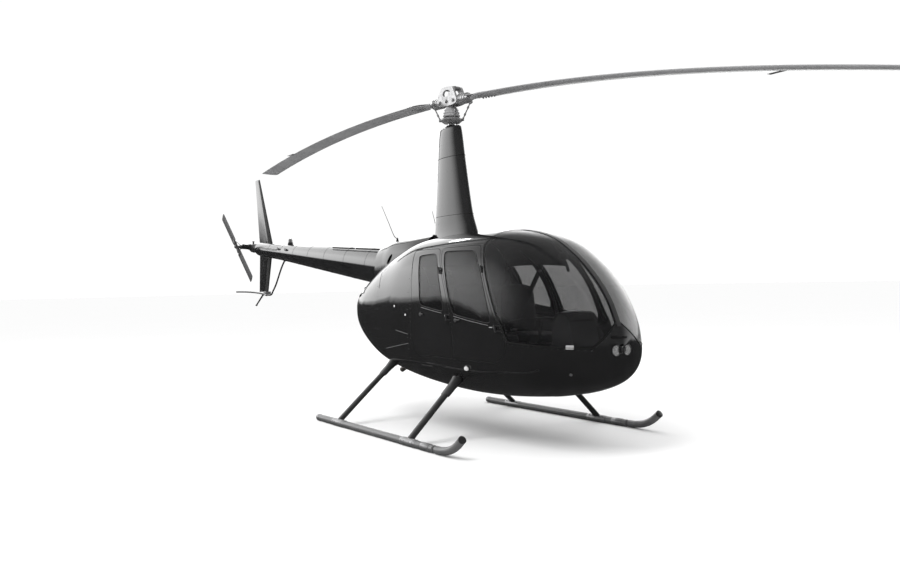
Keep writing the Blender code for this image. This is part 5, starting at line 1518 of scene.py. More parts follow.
def build_door_trim():
    """Seals, window beads, hinges, handles and rivets of the four doors."""
    for port in (False, True):
        side = "left" if port else "right"
        flip = 1 if port else -1
        seals, posts, ways = [], [], []
        for which, window in (("front", FRONT_WINDOW), ("rear", REAR_WINDOW)):
            seals.append(ring_tube(side_run(rounded(door_outline(which)), 0.0030, port), 0.0024, 6))
            glazed = rounded(window, 3, 0.25)
            beads = [ring_tube(side_run(grown(glazed, 0.0035), -0.0002, port, 0.02), 0.0036, 8)]
            piece(f"{which}_window_bead_{side}", joined(beads), "satin_black", f"door_{which}_{side}", merge=0)
            inner = ring_tube(side_run(grown(glazed, 0.012), SKIN + 0.001, port, 0.02), 0.006, 8)
            piece(f"{which}_window_lining_{side}", inner, "trim_black", f"door_{which}_{side}")
        piece(f"door_seals_{side}", joined(seals), "trim_black", merge=0)
        for line, shift in ((WINDSHIELD_EDGE, -0.016), (MID_POST, 0.0), (REAR_DOOR_BACK[2:], -0.030)):
            spots, outward = side_points([(x + shift, z) for x, z in line], 0.042, port, -0.0004)
            posts += spots
            ways += outward
        spots, outward = side_points(((1.12, 1.762), (-0.02, 1.762)), 0.05, port, -0.0004)
        piece(f"post_rivets_{side}", cloud_of(posts + spots, ways + outward, 0.0034), "post_rivet", merge=0)
        # Grey metal strips just under each window's lower edge: painted highlights for the light caught along the
        # sills.
        sill_highlights = {
            "front": [(x, z - 0.020) for x, z in ((0.965, 1.142), (1.210, 1.106), (1.480, 1.072))],
            "rear": [(x, z - 0.020) for x, z in ((0.390, 1.215), (0.570, 1.190), (0.765, 1.165))],
        }
        for which, line in sill_highlights.items():
            run = [on_side(point.x, point.z, 0, port) for point in even_run([(x, 0, z) for x, z in line], 0.03)]
            piece(f"{which}_sill_strip_{side}", surface_dash(run, 0.0022, None), "sleeve_grey", f"door_{which}_{side}")
        for which, spot, length in (("front", (0.992, 1.088), 0.085), ("rear", (0.372, 1.130), 0.070)):
            here = on_side(spot[0], spot[1], 0, port)
            outward = body_normal(here)
            along = X
            dish = turned(((-0.004, 0.0), (-0.004, 0.021), (0.0012, 0.021), (0.0020, 0.018), (0.0008, 0.014), (0.0008, 0.0)), here, outward, 28)
            lever = tube(
                [here + outward * 0.006, here + outward * 0.012 + along * 0.004, here + outward * 0.014 + along * length * 0.6,
                 here + outward * 0.012 + along * length], [0.006, 0.0065, 0.005, 0.0035], 14, 0.0085, Z)
            piece(f"{which}_handle_{side}", joined([in_slot(dish, 0), in_slot(lever, 1)]), ("satin_black", "bright_metal"),
                  f"door_{which}_{side}", merge=0)
        build_hinges(port, side, flip)


def build_hinges(port, side, flip):
    """Barrels and leaves on the doors, lugs and plates on the posts, and the bright edge of each lower leaf."""
    for which, axis in (("front", FRONT_HINGE), ("rear", REAR_HINGE)):
        upper, lower = [Vector((p.x, p.y * -flip, p.z)) for p in axis]
        along = (upper - lower).normalized()
        barrels, lugs = [], []
        for place in (upper, lower):
            half = along * 0.015
            barrels.append(bar(place - half, place + half, 0.0082, None, 24, 0.0012))
            low = place + Vector((-0.022, 0.0, -0.008))
            high = place + Vector((-0.004, 0.0, 0.008))
            low.y, high.y = sorted((place.y - flip * 0.004, place.y + flip * -0.022))
            barrels.append(block(low, high, 0.0015))
            for way in (-1, 1):
                near = place + along * way * 0.0156
                lugs.append(bar(near, near + along * way * 0.017, 0.0082, None, 24, 0.0012))
                mid = near + along * way * 0.009
                edge = WINDSHIELD_EDGE if which == "front" else MID_POST
                shift = -A_POST / 2 if which == "front" else 0.0
                zs = [z for _, z in edge][::-1]
                xs = [x for x, _ in edge][::-1]
                foot_x = float(np.interp(mid.z, zs, xs)) + shift
                far = on_side(foot_x, mid.z, 0.004, port)
                lugs.append(tube([mid, mid.lerp(far, 0.5), far], [0.0036, 0.0036, 0.0040], 10, 0.0060, Z))
        piece(f"{which}_hinge_leaves_{side}", joined(barrels), "satin_black", f"door_{which}_{side}", merge=0)
        piece(f"{which}_hinge_lugs_{side}", joined(lugs), "satin_black", merge=0)
    for which, x_low, x_high, z in (("front", 1.445, 1.536, 1.036), ("rear", 0.742, 0.836, 1.120)):
        run = [on_side(x_low + (x_high - x_low) * k / 4, z, 0, port) for k in range(5)]
        body = "airframe"
        piece(f"{which}_post_clip_{side}", surface_dash(run[2:] if which == "front" else run[3:], 0.0030, 0.0045, 0.0002), "bright_metal", body)


def build_windshield_trim():
    """The centre strip with its screws, the beads and screws round both panes, a blank plate on the sill, the nose vent
    and the static port.
    """
    spots, ways = [], []

    def strip(u, v):
        x = 1.170 + (2.412 - 1.170) * math.sin(v * math.pi / 2)
        y = (u - 0.5) * 0.046
        point = Vector((x, y, body_top_at(x, y)))
        return point + body_normal(point) * 0.0026

    shape = skin(6, 60, strip, wrap=False)
    bmesh.ops.recalc_face_normals(shape, faces=shape.faces)
    if sum(face.normal.z for face in shape.faces) < 0:
        bmesh.ops.reverse_faces(shape, faces=shape.faces)
    bmesh.ops.solidify(shape, geom=shape.faces[:], thickness=0.0020)
    piece("windshield_centre_strip", shape, "satin_black")
    for k in range(26):
        v = 0.02 + 0.95 * k / 25
        for u in (0.15, 0.85):
            spots.append(strip(u, v))
            ways.append(body_normal(spots[-1]))
    piece("centre_strip_screws", cloud_of(spots, ways, 0.0034, 8), "dark_metal", merge=0)
    for port in (False, True):
        side = "left" if port else "right"
        flip = 1 if port else -1
        beads = []
        post = [on_side(p.x, p.z, 0, port) for p in even_run([(x, 0, z) for x, z in WINDSHIELD_EDGE[:-1]], 0.03)]
        sill = [on_side(p.x, p.z, 0, port) for p in even_run([(x, 0, z) for x, z in WINDSHIELD_SILL], 0.03)]
        nose = [on_nose(flip * -y, z) for y, z in [(p.x, p.y) for p in even_run([(y, z, 0) for y, z in NOSE_EDGE], 0.02)]]
        beads.append(surface_dash(post, 0.0034, 0.0060, 0.0004))
        beads.append(surface_dash(sill, 0.0034, 0.0060, 0.0004))
        beads.append(surface_dash(nose, 0.0034, 0.0060, 0.0004))
        corner = [post[-1], on_side(1.700, 0.935, 0, port), sill[0]]
        beads.append(surface_dash(corner, 0.0034, 0.0060, 0.0004))
        link = [sill[-1], on_nose(flip * 0.262, 0.876)]
        beads.append(surface_dash(link, 0.0034, 0.0060, 0.0004))
        piece(f"windshield_beads_{side}", joined(beads), "trim_black", merge=0)
        spots, ways = [], []
        for line in (sill, nose, post):
            for point in even_run(line, 0.055):
                out_way = body_normal(point)
                aside = Vector((0, 0, -1)) if line is not post else Vector((-1, 0, 0))
                here = point + aside * 0.016
                spots.append(here)
                ways.append(out_way)
        spots = [snap(spot) for spot in spots]
        piece(f"windshield_screws_{side}", cloud_of(spots, ways, 0.0030, 8), "post_rivet", merge=0)
    catch = [on_side(2.231 + 0.028 * k, 0.893, 0, False) for k in range(3)]
    blank = skin(6, 4, lambda u, v: snap(on_side(2.236 + 0.050 * u, 0.875 + 0.032 * v)) + body_normal(on_side(2.236 + 0.050 * u, 0.875 + 0.032 * v)) * 0.0030, wrap=False)
    bmesh.ops.recalc_face_normals(blank, faces=blank.faces)
    if blank.faces[:][0].normal.y > 0:
        bmesh.ops.reverse_faces(blank, faces=blank.faces)
    bmesh.ops.solidify(blank, geom=blank.faces[:], thickness=0.0022)
    piece("sill_blank_plate", blank, "blank_plate")
    vent = [on_nose(-0.098 + 0.156 * k / 12, 0.962 - 0.006 * k / 12, -0.0004) for k in range(13)]
    piece("nose_vent_slot", tube(vent, 0.0065, 10, 0.0018, X), "trim_black")
    vent_lip = [on_nose(-0.104 + 0.168 * k / 12, 0.972 - 0.006 * k / 12, -0.0012) for k in range(13)]
    piece("nose_vent_lip", tube(vent_lip, 0.0026, 8), "gloss_black")
    button = on_side(2.228, 0.669)
    piece("static_port", turned(((-0.002, 0.0), (-0.002, 0.013), (0.0012, 0.013), (0.002, 0.010), (0.0012, 0.004), (0.0012, 0.0)), button, body_normal(button), 24), "sleeve_grey")


def snap(point):
    """The nearest place on the body's skin, found along its own slope."""
    point = Vector(point)
    for _ in range(4):
        level = body_level(*point)
        ahead = body_level(*(point + body_normal(point) * 0.004))
        if abs(ahead - level) < 1e-7:
            break
        point += body_normal(point) * max(-0.02, min(0.02, 0.004 * (1 - level) / (ahead - level)))
    return point


def build_cowl_details():
    """Quarter-turn fasteners along the cowl seams, fuel caps, light lines of painted highlight along the cowl edges,
    louvre lips and the belly's fittings.
    """
    spots, ways = [], []
    for x in (COWL_FRONT_X - 0.028, COWL_REAR_X + 0.028, COWL_REAR_X - 0.028):
        ring, outward = ring_points(x, 9.0, 48.0, 172.0)
        spots += ring
        ways += outward
    for port in (False, True):
        line, outward = side_points([(x, z - 0.030) for x, z in ROOF_LINE[1:]], 0.085, port)
        spots += line
        ways += outward
        line, outward = side_points([(x, z + 0.026) for x, z in ROOF_LINE[1:]], 0.085, port)
        spots += line
        ways += outward
    piece("cowl_fasteners", cloud_of(spots, ways, 0.0062, 10, 0.35), "dark_metal", merge=0)
    rivets, ways = [], []
    for x in (0.45, 0.92, 1.30, 1.72, 2.05):
        ring, outward = ring_points(x, 3.5, 124.0, 178.0)
        rivets += ring
        ways += outward
    for port in (False, True):
        for z in (0.560, 0.640):
            line, outward = side_points(((0.20, z), (2.05, z + 0.02)), 0.05, port)
            rivets += line
            ways += outward
        line, outward = side_points(((0.155, 0.66), (0.155, 1.70)), 0.045, port)
        rivets += line
        ways += outward
    piece("belly_rivets", cloud_of(rivets, ways, 0.0028), "gloss_black", merge=0)
    for port in (False, True):
        side = "left" if port else "right"
        caps = []
        for x, z in ((-0.172, 1.201), (0.070, 1.118)):
            here = on_side(x, z, 0, port)
            caps.append(turned(((-0.003, 0.0), (-0.003, 0.0105), (0.0015, 0.0105), (0.0030, 0.0080), (0.0030, 0.0)), here, body_normal(here), 24))
        piece(f"vent_buttons_{side}", joined(caps), "pale_button", merge=0)
        # Light grey lines along the lower cowl's edges: painted highlights where the edges catch the light.
        lines = []
        for start, end in (((-0.142, 0.960), (0.120, 0.930)), ((-0.440, 0.760), (0.120, 0.840))):
            run = [on_side(start[0] + (end[0] - start[0]) * k / 10, start[1] + (end[1] - start[1]) * k / 10, 0, port) for k in range(11)]
            lines.append(surface_dash(run, 0.0018, None, 0.0002))
        piece(f"cowl_edge_lines_{side}", joined(lines), "edge_glint", merge=0)
        lips = []
        for k in range(3):
            slot_z = 1.425 - 0.062 * k
            line = [(-1.150 - 0.0195 * i, slot_z + 0.026 - 0.0042 * i) for i in range(11)]
            run = [on_side(x, z + 0.002, 0, port) for x, z in line]
            lips.append(surface_dash(run, 0.0036, 0.0055, 0.002))
        piece(f"louvre_lips_{side}", joined(lips), "gloss_black", merge=0)
        aft = [on_side(x, z, 0, port) for x, z in ((-0.677, 1.548), (-0.640, 1.480), (-0.592, 1.382))]
        seam = [snap(point) for point in even_run(aft, 0.02)]
        piece(f"aft_hatch_seam_{side}", surface_dash(seam, 0.0020, None, 0.0), "trim_black")
        step_run = [on_side(0.30 + 0.02 * k, 0.640, 0, port) for k in range(12)]
        piece(f"cabin_step_strip_{side}", surface_dash(step_run, 0.0030, 0.006, 0.0006), "trim_black")
    parts = []
    keel = section_at(0.30)[3]
    blade = fin_shape((0.30, 0.0, keel + 0.012), (0.27, 0.0, keel - 0.062), 0.110, 0.060, 0.016, 8, 24)
    parts.append(blade)
    parts.append(block((0.235, -0.026, keel - 0.004), (0.365, 0.026, keel + 0.006), 0.003))
    piece("belly_antenna", joined(parts), "satin_black", merge=0)
    drains = []
    for x, y in ((-0.30, 0.16), (-0.24, -0.20), (0.05, 0.10), (-0.62, 0.08)):
        z = belly_at(x, y)
        drains.append(bar((x, y, z + 0.010), (x - 0.012, y, z - 0.028), 0.0055, None, 12, 0.001))
        drains.append(turned(((-0.002, 0.0), (-0.002, 0.014), (0.002, 0.014), (0.003, 0.008), (0.003, 0.0)), (x, y, z), -Z, 16))
    piece("drain_stubs", joined(drains), "dark_metal", merge=0)
    covers = []
    for x, y, r in ((1.15, 0.0, 0.095), (0.62, 0.18, 0.070), (0.62, -0.18, 0.070), (1.70, 0.0, 0.080)):
        ring = []
        for k in range(40):
            a = 2 * math.pi * k / 40
            ring.append(Vector((x + r * math.cos(a), y + r * math.sin(a), belly_at(x + r * math.cos(a), y + r * math.sin(a)) - 0.0004)))
        covers.append(ring_tube(ring, 0.0022, 6))
        for k in range(8):
            a = 2 * math.pi * k / 8
            spot = (x + (r - 0.012) * math.cos(a), y + (r - 0.012) * math.sin(a))
            covers.append(bar((*spot, belly_at(*spot) + 0.001), (*spot, belly_at(*spot) - 0.0012), 0.0042, None, 8))
    piece("belly_covers", joined(covers), "satin_black", merge=0)
    bend = curved((
        (-0.672, -0.180, 0.650), (-0.674, -0.182, 0.600), (-0.690, -0.188, 0.560), (-0.730, -0.195, 0.520), (-0.790, -0.200, 0.490),
    ), 8)
    pipe = tube(bend, 0.028, 28, ends=False)
    bmesh.ops.recalc_face_normals(pipe, faces=pipe.faces)
    bmesh.ops.solidify(pipe, geom=pipe.faces[:], thickness=0.003)
    piece("exhaust_tailpipe", pipe, "exhaust_metal", stands_for=["exhaust_pipe"])
    clamp = [tube([bend[14], bend[14].lerp(bend[15], 0.5), bend[15]], [0.0305, 0.0318, 0.0305], 28)]
    piece("exhaust_clamp", joined(clamp), "bright_metal", merge=0)


def belly_at(x, y):
    half, top, wide, bottom, n_up, n_low = section_at(x)
    return wide - (wide - bottom) * max(0.0, 1 - (abs(y) / half) ** n_low) ** (1 / n_low)


def build_lamps():
    """Landing lamps behind their clear covers, and the position lamps on their feet."""
    for way, side in ((-1, "right"), (1, "left")):
        centre = Vector((0, way * 0.058, 0.856))
        cover = mesh_object(f"lamp_cover_{side}", body_panel(2.33, 2.4415, -math.pi, math.pi, 40, 160, 0.003, 0.001))
        carve(cover, keeps=[cutter("lamp_edge", bar(centre + X * 2.30, centre + X * 2.60, 0.0424, None, 48))])
        finish(cover, "clear_lens", "airframe", [f"landing_light_{side}"], None)
        true_normals(cover)
        face_x = on_nose(centre.y, centre.z).x
        dish = turned(((-0.052, 0.0), (-0.052, 0.012), (-0.046, 0.022), (-0.034, 0.032), (-0.016, 0.040), (-0.0135, 0.0405), (-0.014, 0.0415), (-0.036, 0.034), (-0.056, 0.014), (-0.060, 0.0)),
                      centre + X * face_x, X, 48)
        piece(f"lamp_reflector_{side}", dish, "lamp_silver")
        bulb = turned(((-0.056, 0.0), (-0.050, 0.010), (-0.030, 0.010), (-0.024, 0.0085), (-0.018, 0.005), (-0.016, 0.0)), centre + X * face_x, X, 24)
        piece(f"lamp_bulb_{side}", bulb, "sleeve_grey")
        ring = []
        for k in range(48):
            a = 2 * math.pi * k / 48
            ring.append(on_nose(centre.y + 0.0440 * math.cos(a), centre.z + 0.0440 * math.sin(a), 0.0004))
        piece(f"lamp_bezel_{side}", ring_tube(ring, 0.0034, 10), "satin_black")
        here = on_side(1.134, 0.667, 0, way > 0)
        out_way = body_normal(here)
        foot = turned(((-0.004, 0.0), (-0.004, 0.030), (0.002, 0.0295), (0.008, 0.026), (0.010, 0.024), (0.010, 0.0)), here, out_way, 32)
        piece(f"position_lamp_foot_{side}", foot, "satin_black")
        glassy = turned(((0.010, 0.0), (0.010, 0.0215), (0.018, 0.0205), (0.026, 0.0160), (0.031, 0.0085), (0.0325, 0.0)), here, out_way, 32)
        bmesh.ops.scale(glassy, vec=(1.25, 1, 1), space=Matrix.Translation(-here), verts=glassy.verts)
        piece(f"position_lamp_lens_{side}", glassy, "position_lens", stands_for=[f"position_light_{side}"])
        core = turned(((0.010, 0.0), (0.010, 0.008), (0.022, 0.006), (0.024, 0.0)), here, out_way, 16)
        piece(f"position_lamp_core_{side}", core, "lamp_silver")


def build_fan():
    """The cooling fan seen through the cowl's rear opening: scroll, wheel, blades and guard rings."""
    scroll = turned(
        ((-0.7200, 0.0), (-0.7200, 0.235), (-0.745, 0.250), (-0.90, 0.250), (-1.02, 0.246), (-1.085, 0.232), (-1.100, 0.205), (-1.094, 0.196), (-1.06, 0.190), (-1.02, 0.186), (-1.02, 0.0)),
        (0, 0, FAN_Z), X, 64)
    piece("fan_scroll", scroll, "satin_black", stands_for=["fan_housing"])
    wheel = [turned(((-1.078, 0.0), (-1.076, 0.030), (-1.066, 0.046), (-1.045, 0.060), (-1.026, 0.062), (-1.026, 0.0)), (0, 0, FAN_Z), X, 40)]
    for k in range(22):
        vane = block((-1.074, -0.0016, 0.052), (-1.026, 0.0016, 0.180), 0.0007, 1)
        bmesh.ops.rotate(vane, cent=(-1.05, 0, 0.115), matrix=Matrix.Rotation(math.radians(26), 3, "Z"), verts=vane.verts)
        bmesh.ops.rotate(vane, cent=(0, 0, 0), matrix=Matrix.Rotation(2 * math.pi * k / 22, 3, "X"), verts=vane.verts)
        bmesh.ops.translate(vane, vec=(0, 0, FAN_Z), verts=vane.verts)
        wheel.append(vane)
    piece("fan_wheel", joined(wheel), "dark_metal", merge=0)
    rings = []
    for radius in (0.070, 0.110, 0.150, 0.186):
        loop = [Vector((-1.452, radius * math.sin(a), FAN_Z + radius * math.cos(a))) for a in [2 * math.pi * k / 56 for k in range(56)]]
        rings.append(ring_tube(loop, 0.0028, 8))
    for k in range(4):
        a = math.pi / 4 + math.pi / 2 * k
        rings.append(bar((-1.4545, 0.035 * math.sin(a), FAN_Z + 0.035 * math.cos(a)), (-1.4545, 0.192 * math.sin(a), FAN_Z + 0.192 * math.cos(a)), 0.0032, None, 8))
    rings.append(turned(((-0.004, 0.0), (-0.004, 0.038), (0.002, 0.036), (0.003, 0.0)), (-1.456, 0, FAN_Z), -X, 32))
    piece("fan_guard", joined(rings), "satin_black", merge=0)
    cylinders = []
    for way in (-1, 1):
        for x in (-0.62, -0.46, -0.30):
            cylinders.append(turned([(0.0, 0.0)] + [(0.006 + 0.008 * i, 0.052 - 0.010 * (i % 2)) for i in range(11)] + [(0.094, 0.0)], (x, way * 0.325, 0.90), (0, way, 0.12), 24))
    piece("engine_cylinders", joined(cylinders), "engine_metal", merge=0)


def cushion(low, high, power=6.0, channels=(), depth=0.006, lean=0.0, crown=0.10, face="Z", cuts=26):
    """A stuffed pad in a box: crowned faces, sides drawn in between the corners, and sewn channels."""
    low, high = Vector(low), Vector(high)
    shape = bmesh.new()
    bmesh.ops.create_cube(shape, size=2.0)
    bmesh.ops.subdivide_edges(shape, edges=shape.edges[:], cuts=cuts, use_grid_fill=True)
    size, middle = (high - low) / 2, (high + low) / 2
    up, side = (2, 1) if face == "Z" else (0, 1)
    long = 0 if face == "Z" else 2
    for vert in shape.verts:
        p = vert.co.copy()
        reach = (abs(p.x) ** power + abs(p.y) ** power + abs(p.z) ** power) ** (1 / power)
        p = p / reach
        draw = 1 - 0.035 * (1 - p[long] ** 2) * abs(p[side]) ** 3
        p[side] *= draw
        swell = (1 - p[side] ** 2) * (1 - p[long] ** 2)
        p[up] *= 1 - crown + crown * swell
        groove = 0.0
        for place in channels:
            groove += math.exp(-((p[long] - place) / 0.030) ** 2)
        if abs(p[up]) > 0.3 and p[up] * (1 if face == "Z" else 1) > 0:
            p[up] -= groove * depth / size[up] * min(1.0, (1.05 - abs(p[side])) * 6)
        vert.co = Vector((p.x * size.x, p.y * size.y, p.z * size.z)) + middle
        vert.co.x += lean * (vert.co.z - low.z)
    return shape


def build_seats():
    """Four seats: stuffed squab and back with piping, on a boxed base, with harness straps and buckles."""
    rows = (("front", 0.655, 1.215, 0.640, -0.120, 1.392), ("rear", 0.200, 0.580, 0.185, -0.090, 1.404))
    for name, x_low, x_high, base_low, lean, top in rows:
        for way, side in ((-1, "right"), (1, "left")):
            y_in, y_out = way * 0.050, way * 0.485
            y_low, y_high = min(y_in, y_out), max(y_in, y_out)
            squab = cushion((x_low + 0.085, y_low + 0.004, 0.835), (x_high, y_high - 0.004, 0.948), 5.0, (-0.45, -0.05, 0.35), 0.007, 0.0, 0.14)
            piece(f"{name}_squab_{side}", squab, "black_leather", stands_for=[f"{name}_seat_{side}"], angle=None)
            back_x = x_low + 0.030 if name == "front" else x_low + 0.004
            back = cushion((back_x, y_low + 0.006, 0.940), (back_x + 0.088, y_high - 0.006, top), 4.5, (-0.62, -0.22, 0.18, 0.56), 0.006, lean, 0.16, "X")
            piece(f"{name}_back_{side}", back, "black_leather", angle=None)
            box = [
                block((base_low, y_low + 0.012, 0.6205), (x_high - 0.055, y_high - 0.012, 0.845), 0.012, 3),
            ]
            piece(f"{name}_seat_box_{side}", joined(box), "moulded_grey", merge=0)
            seams = []
            for z in (0.870, 0.925):
                loop = []
                for k in range(72):
                    a = 2 * math.pi * k / 72
                    c, t = math.cos(a), math.sin(a)
                    loop.append(Vector((
                        (x_low + 0.085 + x_high) / 2 + (x_high - x_low - 0.085) / 2 * 0.955 * math.copysign(abs(c) ** 0.40, c),
                        (y_low + y_high) / 2 + (y_high - y_low - 0.008) / 2 * 0.955 * math.copysign(abs(t) ** 0.40, t), z)))
                seams.append(ring_tube(loop, 0.0032, 8))
            piece(f"{name}_piping_{side}", joined(seams), "leather_seam", merge=0)
            build_harness(name, side, way, back_x, top, lean, x_low, x_high)


def build_harness(name, side, way, back_x, top, lean, x_low, x_high):
    """A lap belt across the squab and a shoulder strap up to its guide on the post."""
    y_in, y_out = way * 0.075, way * 0.465
    straps = []
    lap = curved([
        (x_low + 0.115, y_out, 0.865), (x_low + 0.150, y_out - way * 0.02, 0.948), (x_low + 0.210, way * 0.330, 0.962),
        (x_low + 0.215, way * 0.200, 0.962), (x_low + 0.150, y_in + way * 0.02, 0.948), (x_low + 0.115, y_in, 0.870),
    ], 6)
    straps.append(tube(lap, 0.0013, 10, 0.024, X))
    high = Vector((0.735, way * 0.520, 1.520)) if name == "front" else Vector((0.230, way * 0.500, 1.560))
    low = Vector((x_low + 0.170, way * 0.130, 0.955))
    chest = Vector((back_x + 0.098 + lean * (1.22 - 0.94), way * 0.330, 1.22))
    shoulder = Vector((back_x + 0.090 + lean * (top - 0.95), way * 0.440, top - 0.02))
    straps.append(tube(curved([high, high.lerp(shoulder, 0.5), shoulder, chest, low], 8), 0.0013, 10, 0.024, X + Y * way))
    piece(f"{name}_harness_{side}", joined(straps), "webbing", merge=0)
    metal = [
        block(low + Vector((-0.022, -0.030, -0.002)), low + Vector((0.022, 0.030, 0.016)), 0.004),
        bar(high + Vector((0, -way * 0.006, 0)), high + Vector((0, way * 0.020, 0)), 0.016, None, 20, 0.002),
        block((x_low + 0.100, y_out - 0.012, 0.850), (x_low + 0.130, y_out + 0.012, 0.880), 0.003),
    ]
    piece(f"{name}_buckles_{side}", joined(metal), "sleeve_grey", merge=0)


def build_cockpit():
    """Console with blank round dials, glare shield, sticks, pedals and compass."""
    side_view = [(1.700, 0.6205), (2.078, 0.6205), (2.058, 0.800), (1.998, 0.960), (1.982, 1.075), (1.930, 1.140), (1.845, 1.148), (1.765, 1.078), (1.722, 0.860)]
    pedestal = plate(rounded(side_view, 2, 0.25), "Y", -0.148, 0.148)
    made = mesh_object("console_body", pedestal)
    finish(made, "moulded_grey", "airframe", ["instrument_console"], 30)
    soften(made, 0.008, 3, 30)
    shade = mesh_object("console_glare_shield", plate(rounded([(1.742, 1.062), (1.762, 1.090), (1.838, 1.158), (1.930, 1.152), (1.990, 1.090), (1.985, 1.075), (1.925, 1.133), (1.846, 1.140), (1.770, 1.075)], 2, 0.2), "Y", -0.156, 0.156))
    finish(shade, "satin_black", "airframe", (), 30)
    soften(shade, 0.003, 2, 30)
    face_low, face_high = Vector((1.722, 0, 0.862)), Vector((1.765, 0, 1.076))
    up = (face_high - face_low).normalized()
    out_way = Vector((-up.z, 0, up.x))
    bezels, dials, marks, needles = [], [], [], []
    for row, level in enumerate((0.045, 0.110, 0.175)):
        for column in range(3):
            centre = face_low + up * level + Y * (column - 1) * 0.086 + out_way * 0.0006
            bezels.append(turned(((-0.002, 0.0), (-0.002, 0.033), (0.008, 0.033), (0.010, 0.030), (0.006, 0.0275), (0.003, 0.027), (0.003, 0.0)), centre, out_way, 36))
            dials.append(turned(((0.0032, 0.0), (0.0032, 0.0262), (0.0038, 0.0262), (0.0038, 0.0)), centre, out_way, 32))
            for k in range(12):
                a = 2 * math.pi * k / 12
                way = up * math.cos(a) + Y * math.sin(a)
                marks.append(bar(centre + out_way * 0.0042 + way * 0.0205, centre + out_way * 0.0042 + way * 0.0245, 0.0007, None, 6))
            a = 0.9 + 1.7 * row + 2.3 * column
            way = up * math.cos(a) + Y * math.sin(a)
            needles.append(bar(centre + out_way * 0.0050 - way * 0.004, centre + out_way * 0.0050 + way * 0.018, 0.0010, 0.0005, 6))
    piece("dial_bezels", joined(bezels), "satin_black", merge=0)
    piece("dial_faces", joined(dials), "trim_black", merge=0)
    piece("dial_marks", joined(marks + needles), "pale_dial", merge=0)
    boxes = []
    for k, z in enumerate((0.655, 0.705, 0.755, 0.800)):
        x = float(np.interp(z, (0.6205, 0.860), (1.700, 1.722)))
        boxes.append(block((x - 0.010, -0.085, z), (x + 0.010, 0.085, z + 0.040), 0.003))
        for y in (-0.070, 0.070):
            boxes.append(bar((x - 0.024, y, z + 0.020), (x - 0.008, y, z + 0.020), 0.008, None, 20, 0.0015))
    for k in range(7):
        boxes.append(block((1.698 + 0.001 * k, -0.126 + 0.006 * 0, 0.640 + 0.028 * k), (1.712 + 0.0025 * k, -0.108, 0.654 + 0.028 * k), 0.002))
    piece("radio_stack", joined(boxes), "satin_black", merge=0)
    chart = block((1.800, -0.130, 1.150), (1.935, 0.010, 1.158), 0.002)
    bmesh.ops.rotate(chart, cent=(1.87, -0.06, 1.154), matrix=Matrix.Rotation(math.radians(-7), 3, "Y"), verts=chart.verts)
    piece("blank_chart_pad", chart, "pale_pad")
    post = curved([(1.330, 0.0, 0.6206), (1.330, 0.0, 0.780), (1.390, 0.0, 0.960), (1.400, 0.0, 1.075)], 8)
    cross = curved([(1.400, -0.425, 1.020), (1.400, -0.300, 1.075), (1.400, 0.0, 1.085), (1.400, 0.300, 1.075), (1.400, 0.425, 1.020)], 10)
    parts = [tube(post, 0.0155, 20), tube(cross, 0.0115, 16)]
    parts.append(turned(((0.0, 0.0), (0.0, 0.034), (0.010, 0.034), (0.018, 0.026), (0.040, 0.020), (0.044, 0.0)), (1.330, 0, 0.6205), Z, 28))
    for y in (-0.415, 0.415):
        parts.append(tube([(1.400, y, 1.060), (1.398, y, 1.015), (1.400, y, 0.965), (1.406, y, 0.930)], [0.016, 0.019, 0.0175, 0.015], 20))
    piece("cyclic_column", joined(parts), "satin_black", stands_for=["cyclic_stick"], merge=0)
    levers = []
    for x, y in ((0.800, 0.018), (0.330, 0.0)):
        run = curved([(x, y, 0.660), (x + 0.12, y, 0.700), (x + 0.30, y, 0.800), (x + 0.40, y, 0.860)], 6)
        if x > 0.5:
            levers.append(tube(run, [0.011] * 10 + [0.0165] * 9, 16))
    piece("collective_lever", joined(levers), "satin_black", merge=0)
    pedals = []
    for centre in (-0.28, 0.28):
        for dy in (-0.075, 0.075):
            y = centre + dy
            pedals.append(tube(curved([(1.93, y, 0.640), (1.99, y, 0.700), (1.985, y, 0.790)], 5), 0.007, 10))
            pedals.append(block((1.958, y - 0.038, 0.752), (1.970, y + 0.038, 0.812), 0.004))
            for k in range(4):
                pedals.append(bar((1.9575, y - 0.032, 0.762 + 0.013 * k), (1.9575, y + 0.032, 0.762 + 0.013 * k), 0.0022, None, 8))
    piece("foot_pedals", joined(pedals), "dark_metal", merge=0)
    case = cushion((1.704, -0.032, 1.600), (1.776, 0.032, 1.668), 5.0, (), 0.0, 0.0, 0.02, "X", 8)
    face = turned(((-0.003, 0.0), (-0.003, 0.025), (0.003, 0.025), (0.004, 0.022), (0.002, 0.0)), (1.703, 0, 1.634), -X, 28)
    top = body_top_at(1.74, 0) - 0.008
    arm = tube(curved([(1.740, 0, 1.660), (1.738, 0, 1.700), (1.742, 0, top)], 5), 0.007, 12)
    shoe = block((1.722, -0.014, top - 0.012), (1.762, 0.014, top - 0.006), 0.002)
    bodied = joined([in_slot(case, 0), in_slot(face, 1), in_slot(arm, 0), in_slot(shoe, 0)])
    piece("compass_case", bodied, ("satin_black", "pale_dial"), stands_for=["compass"], merge=0)


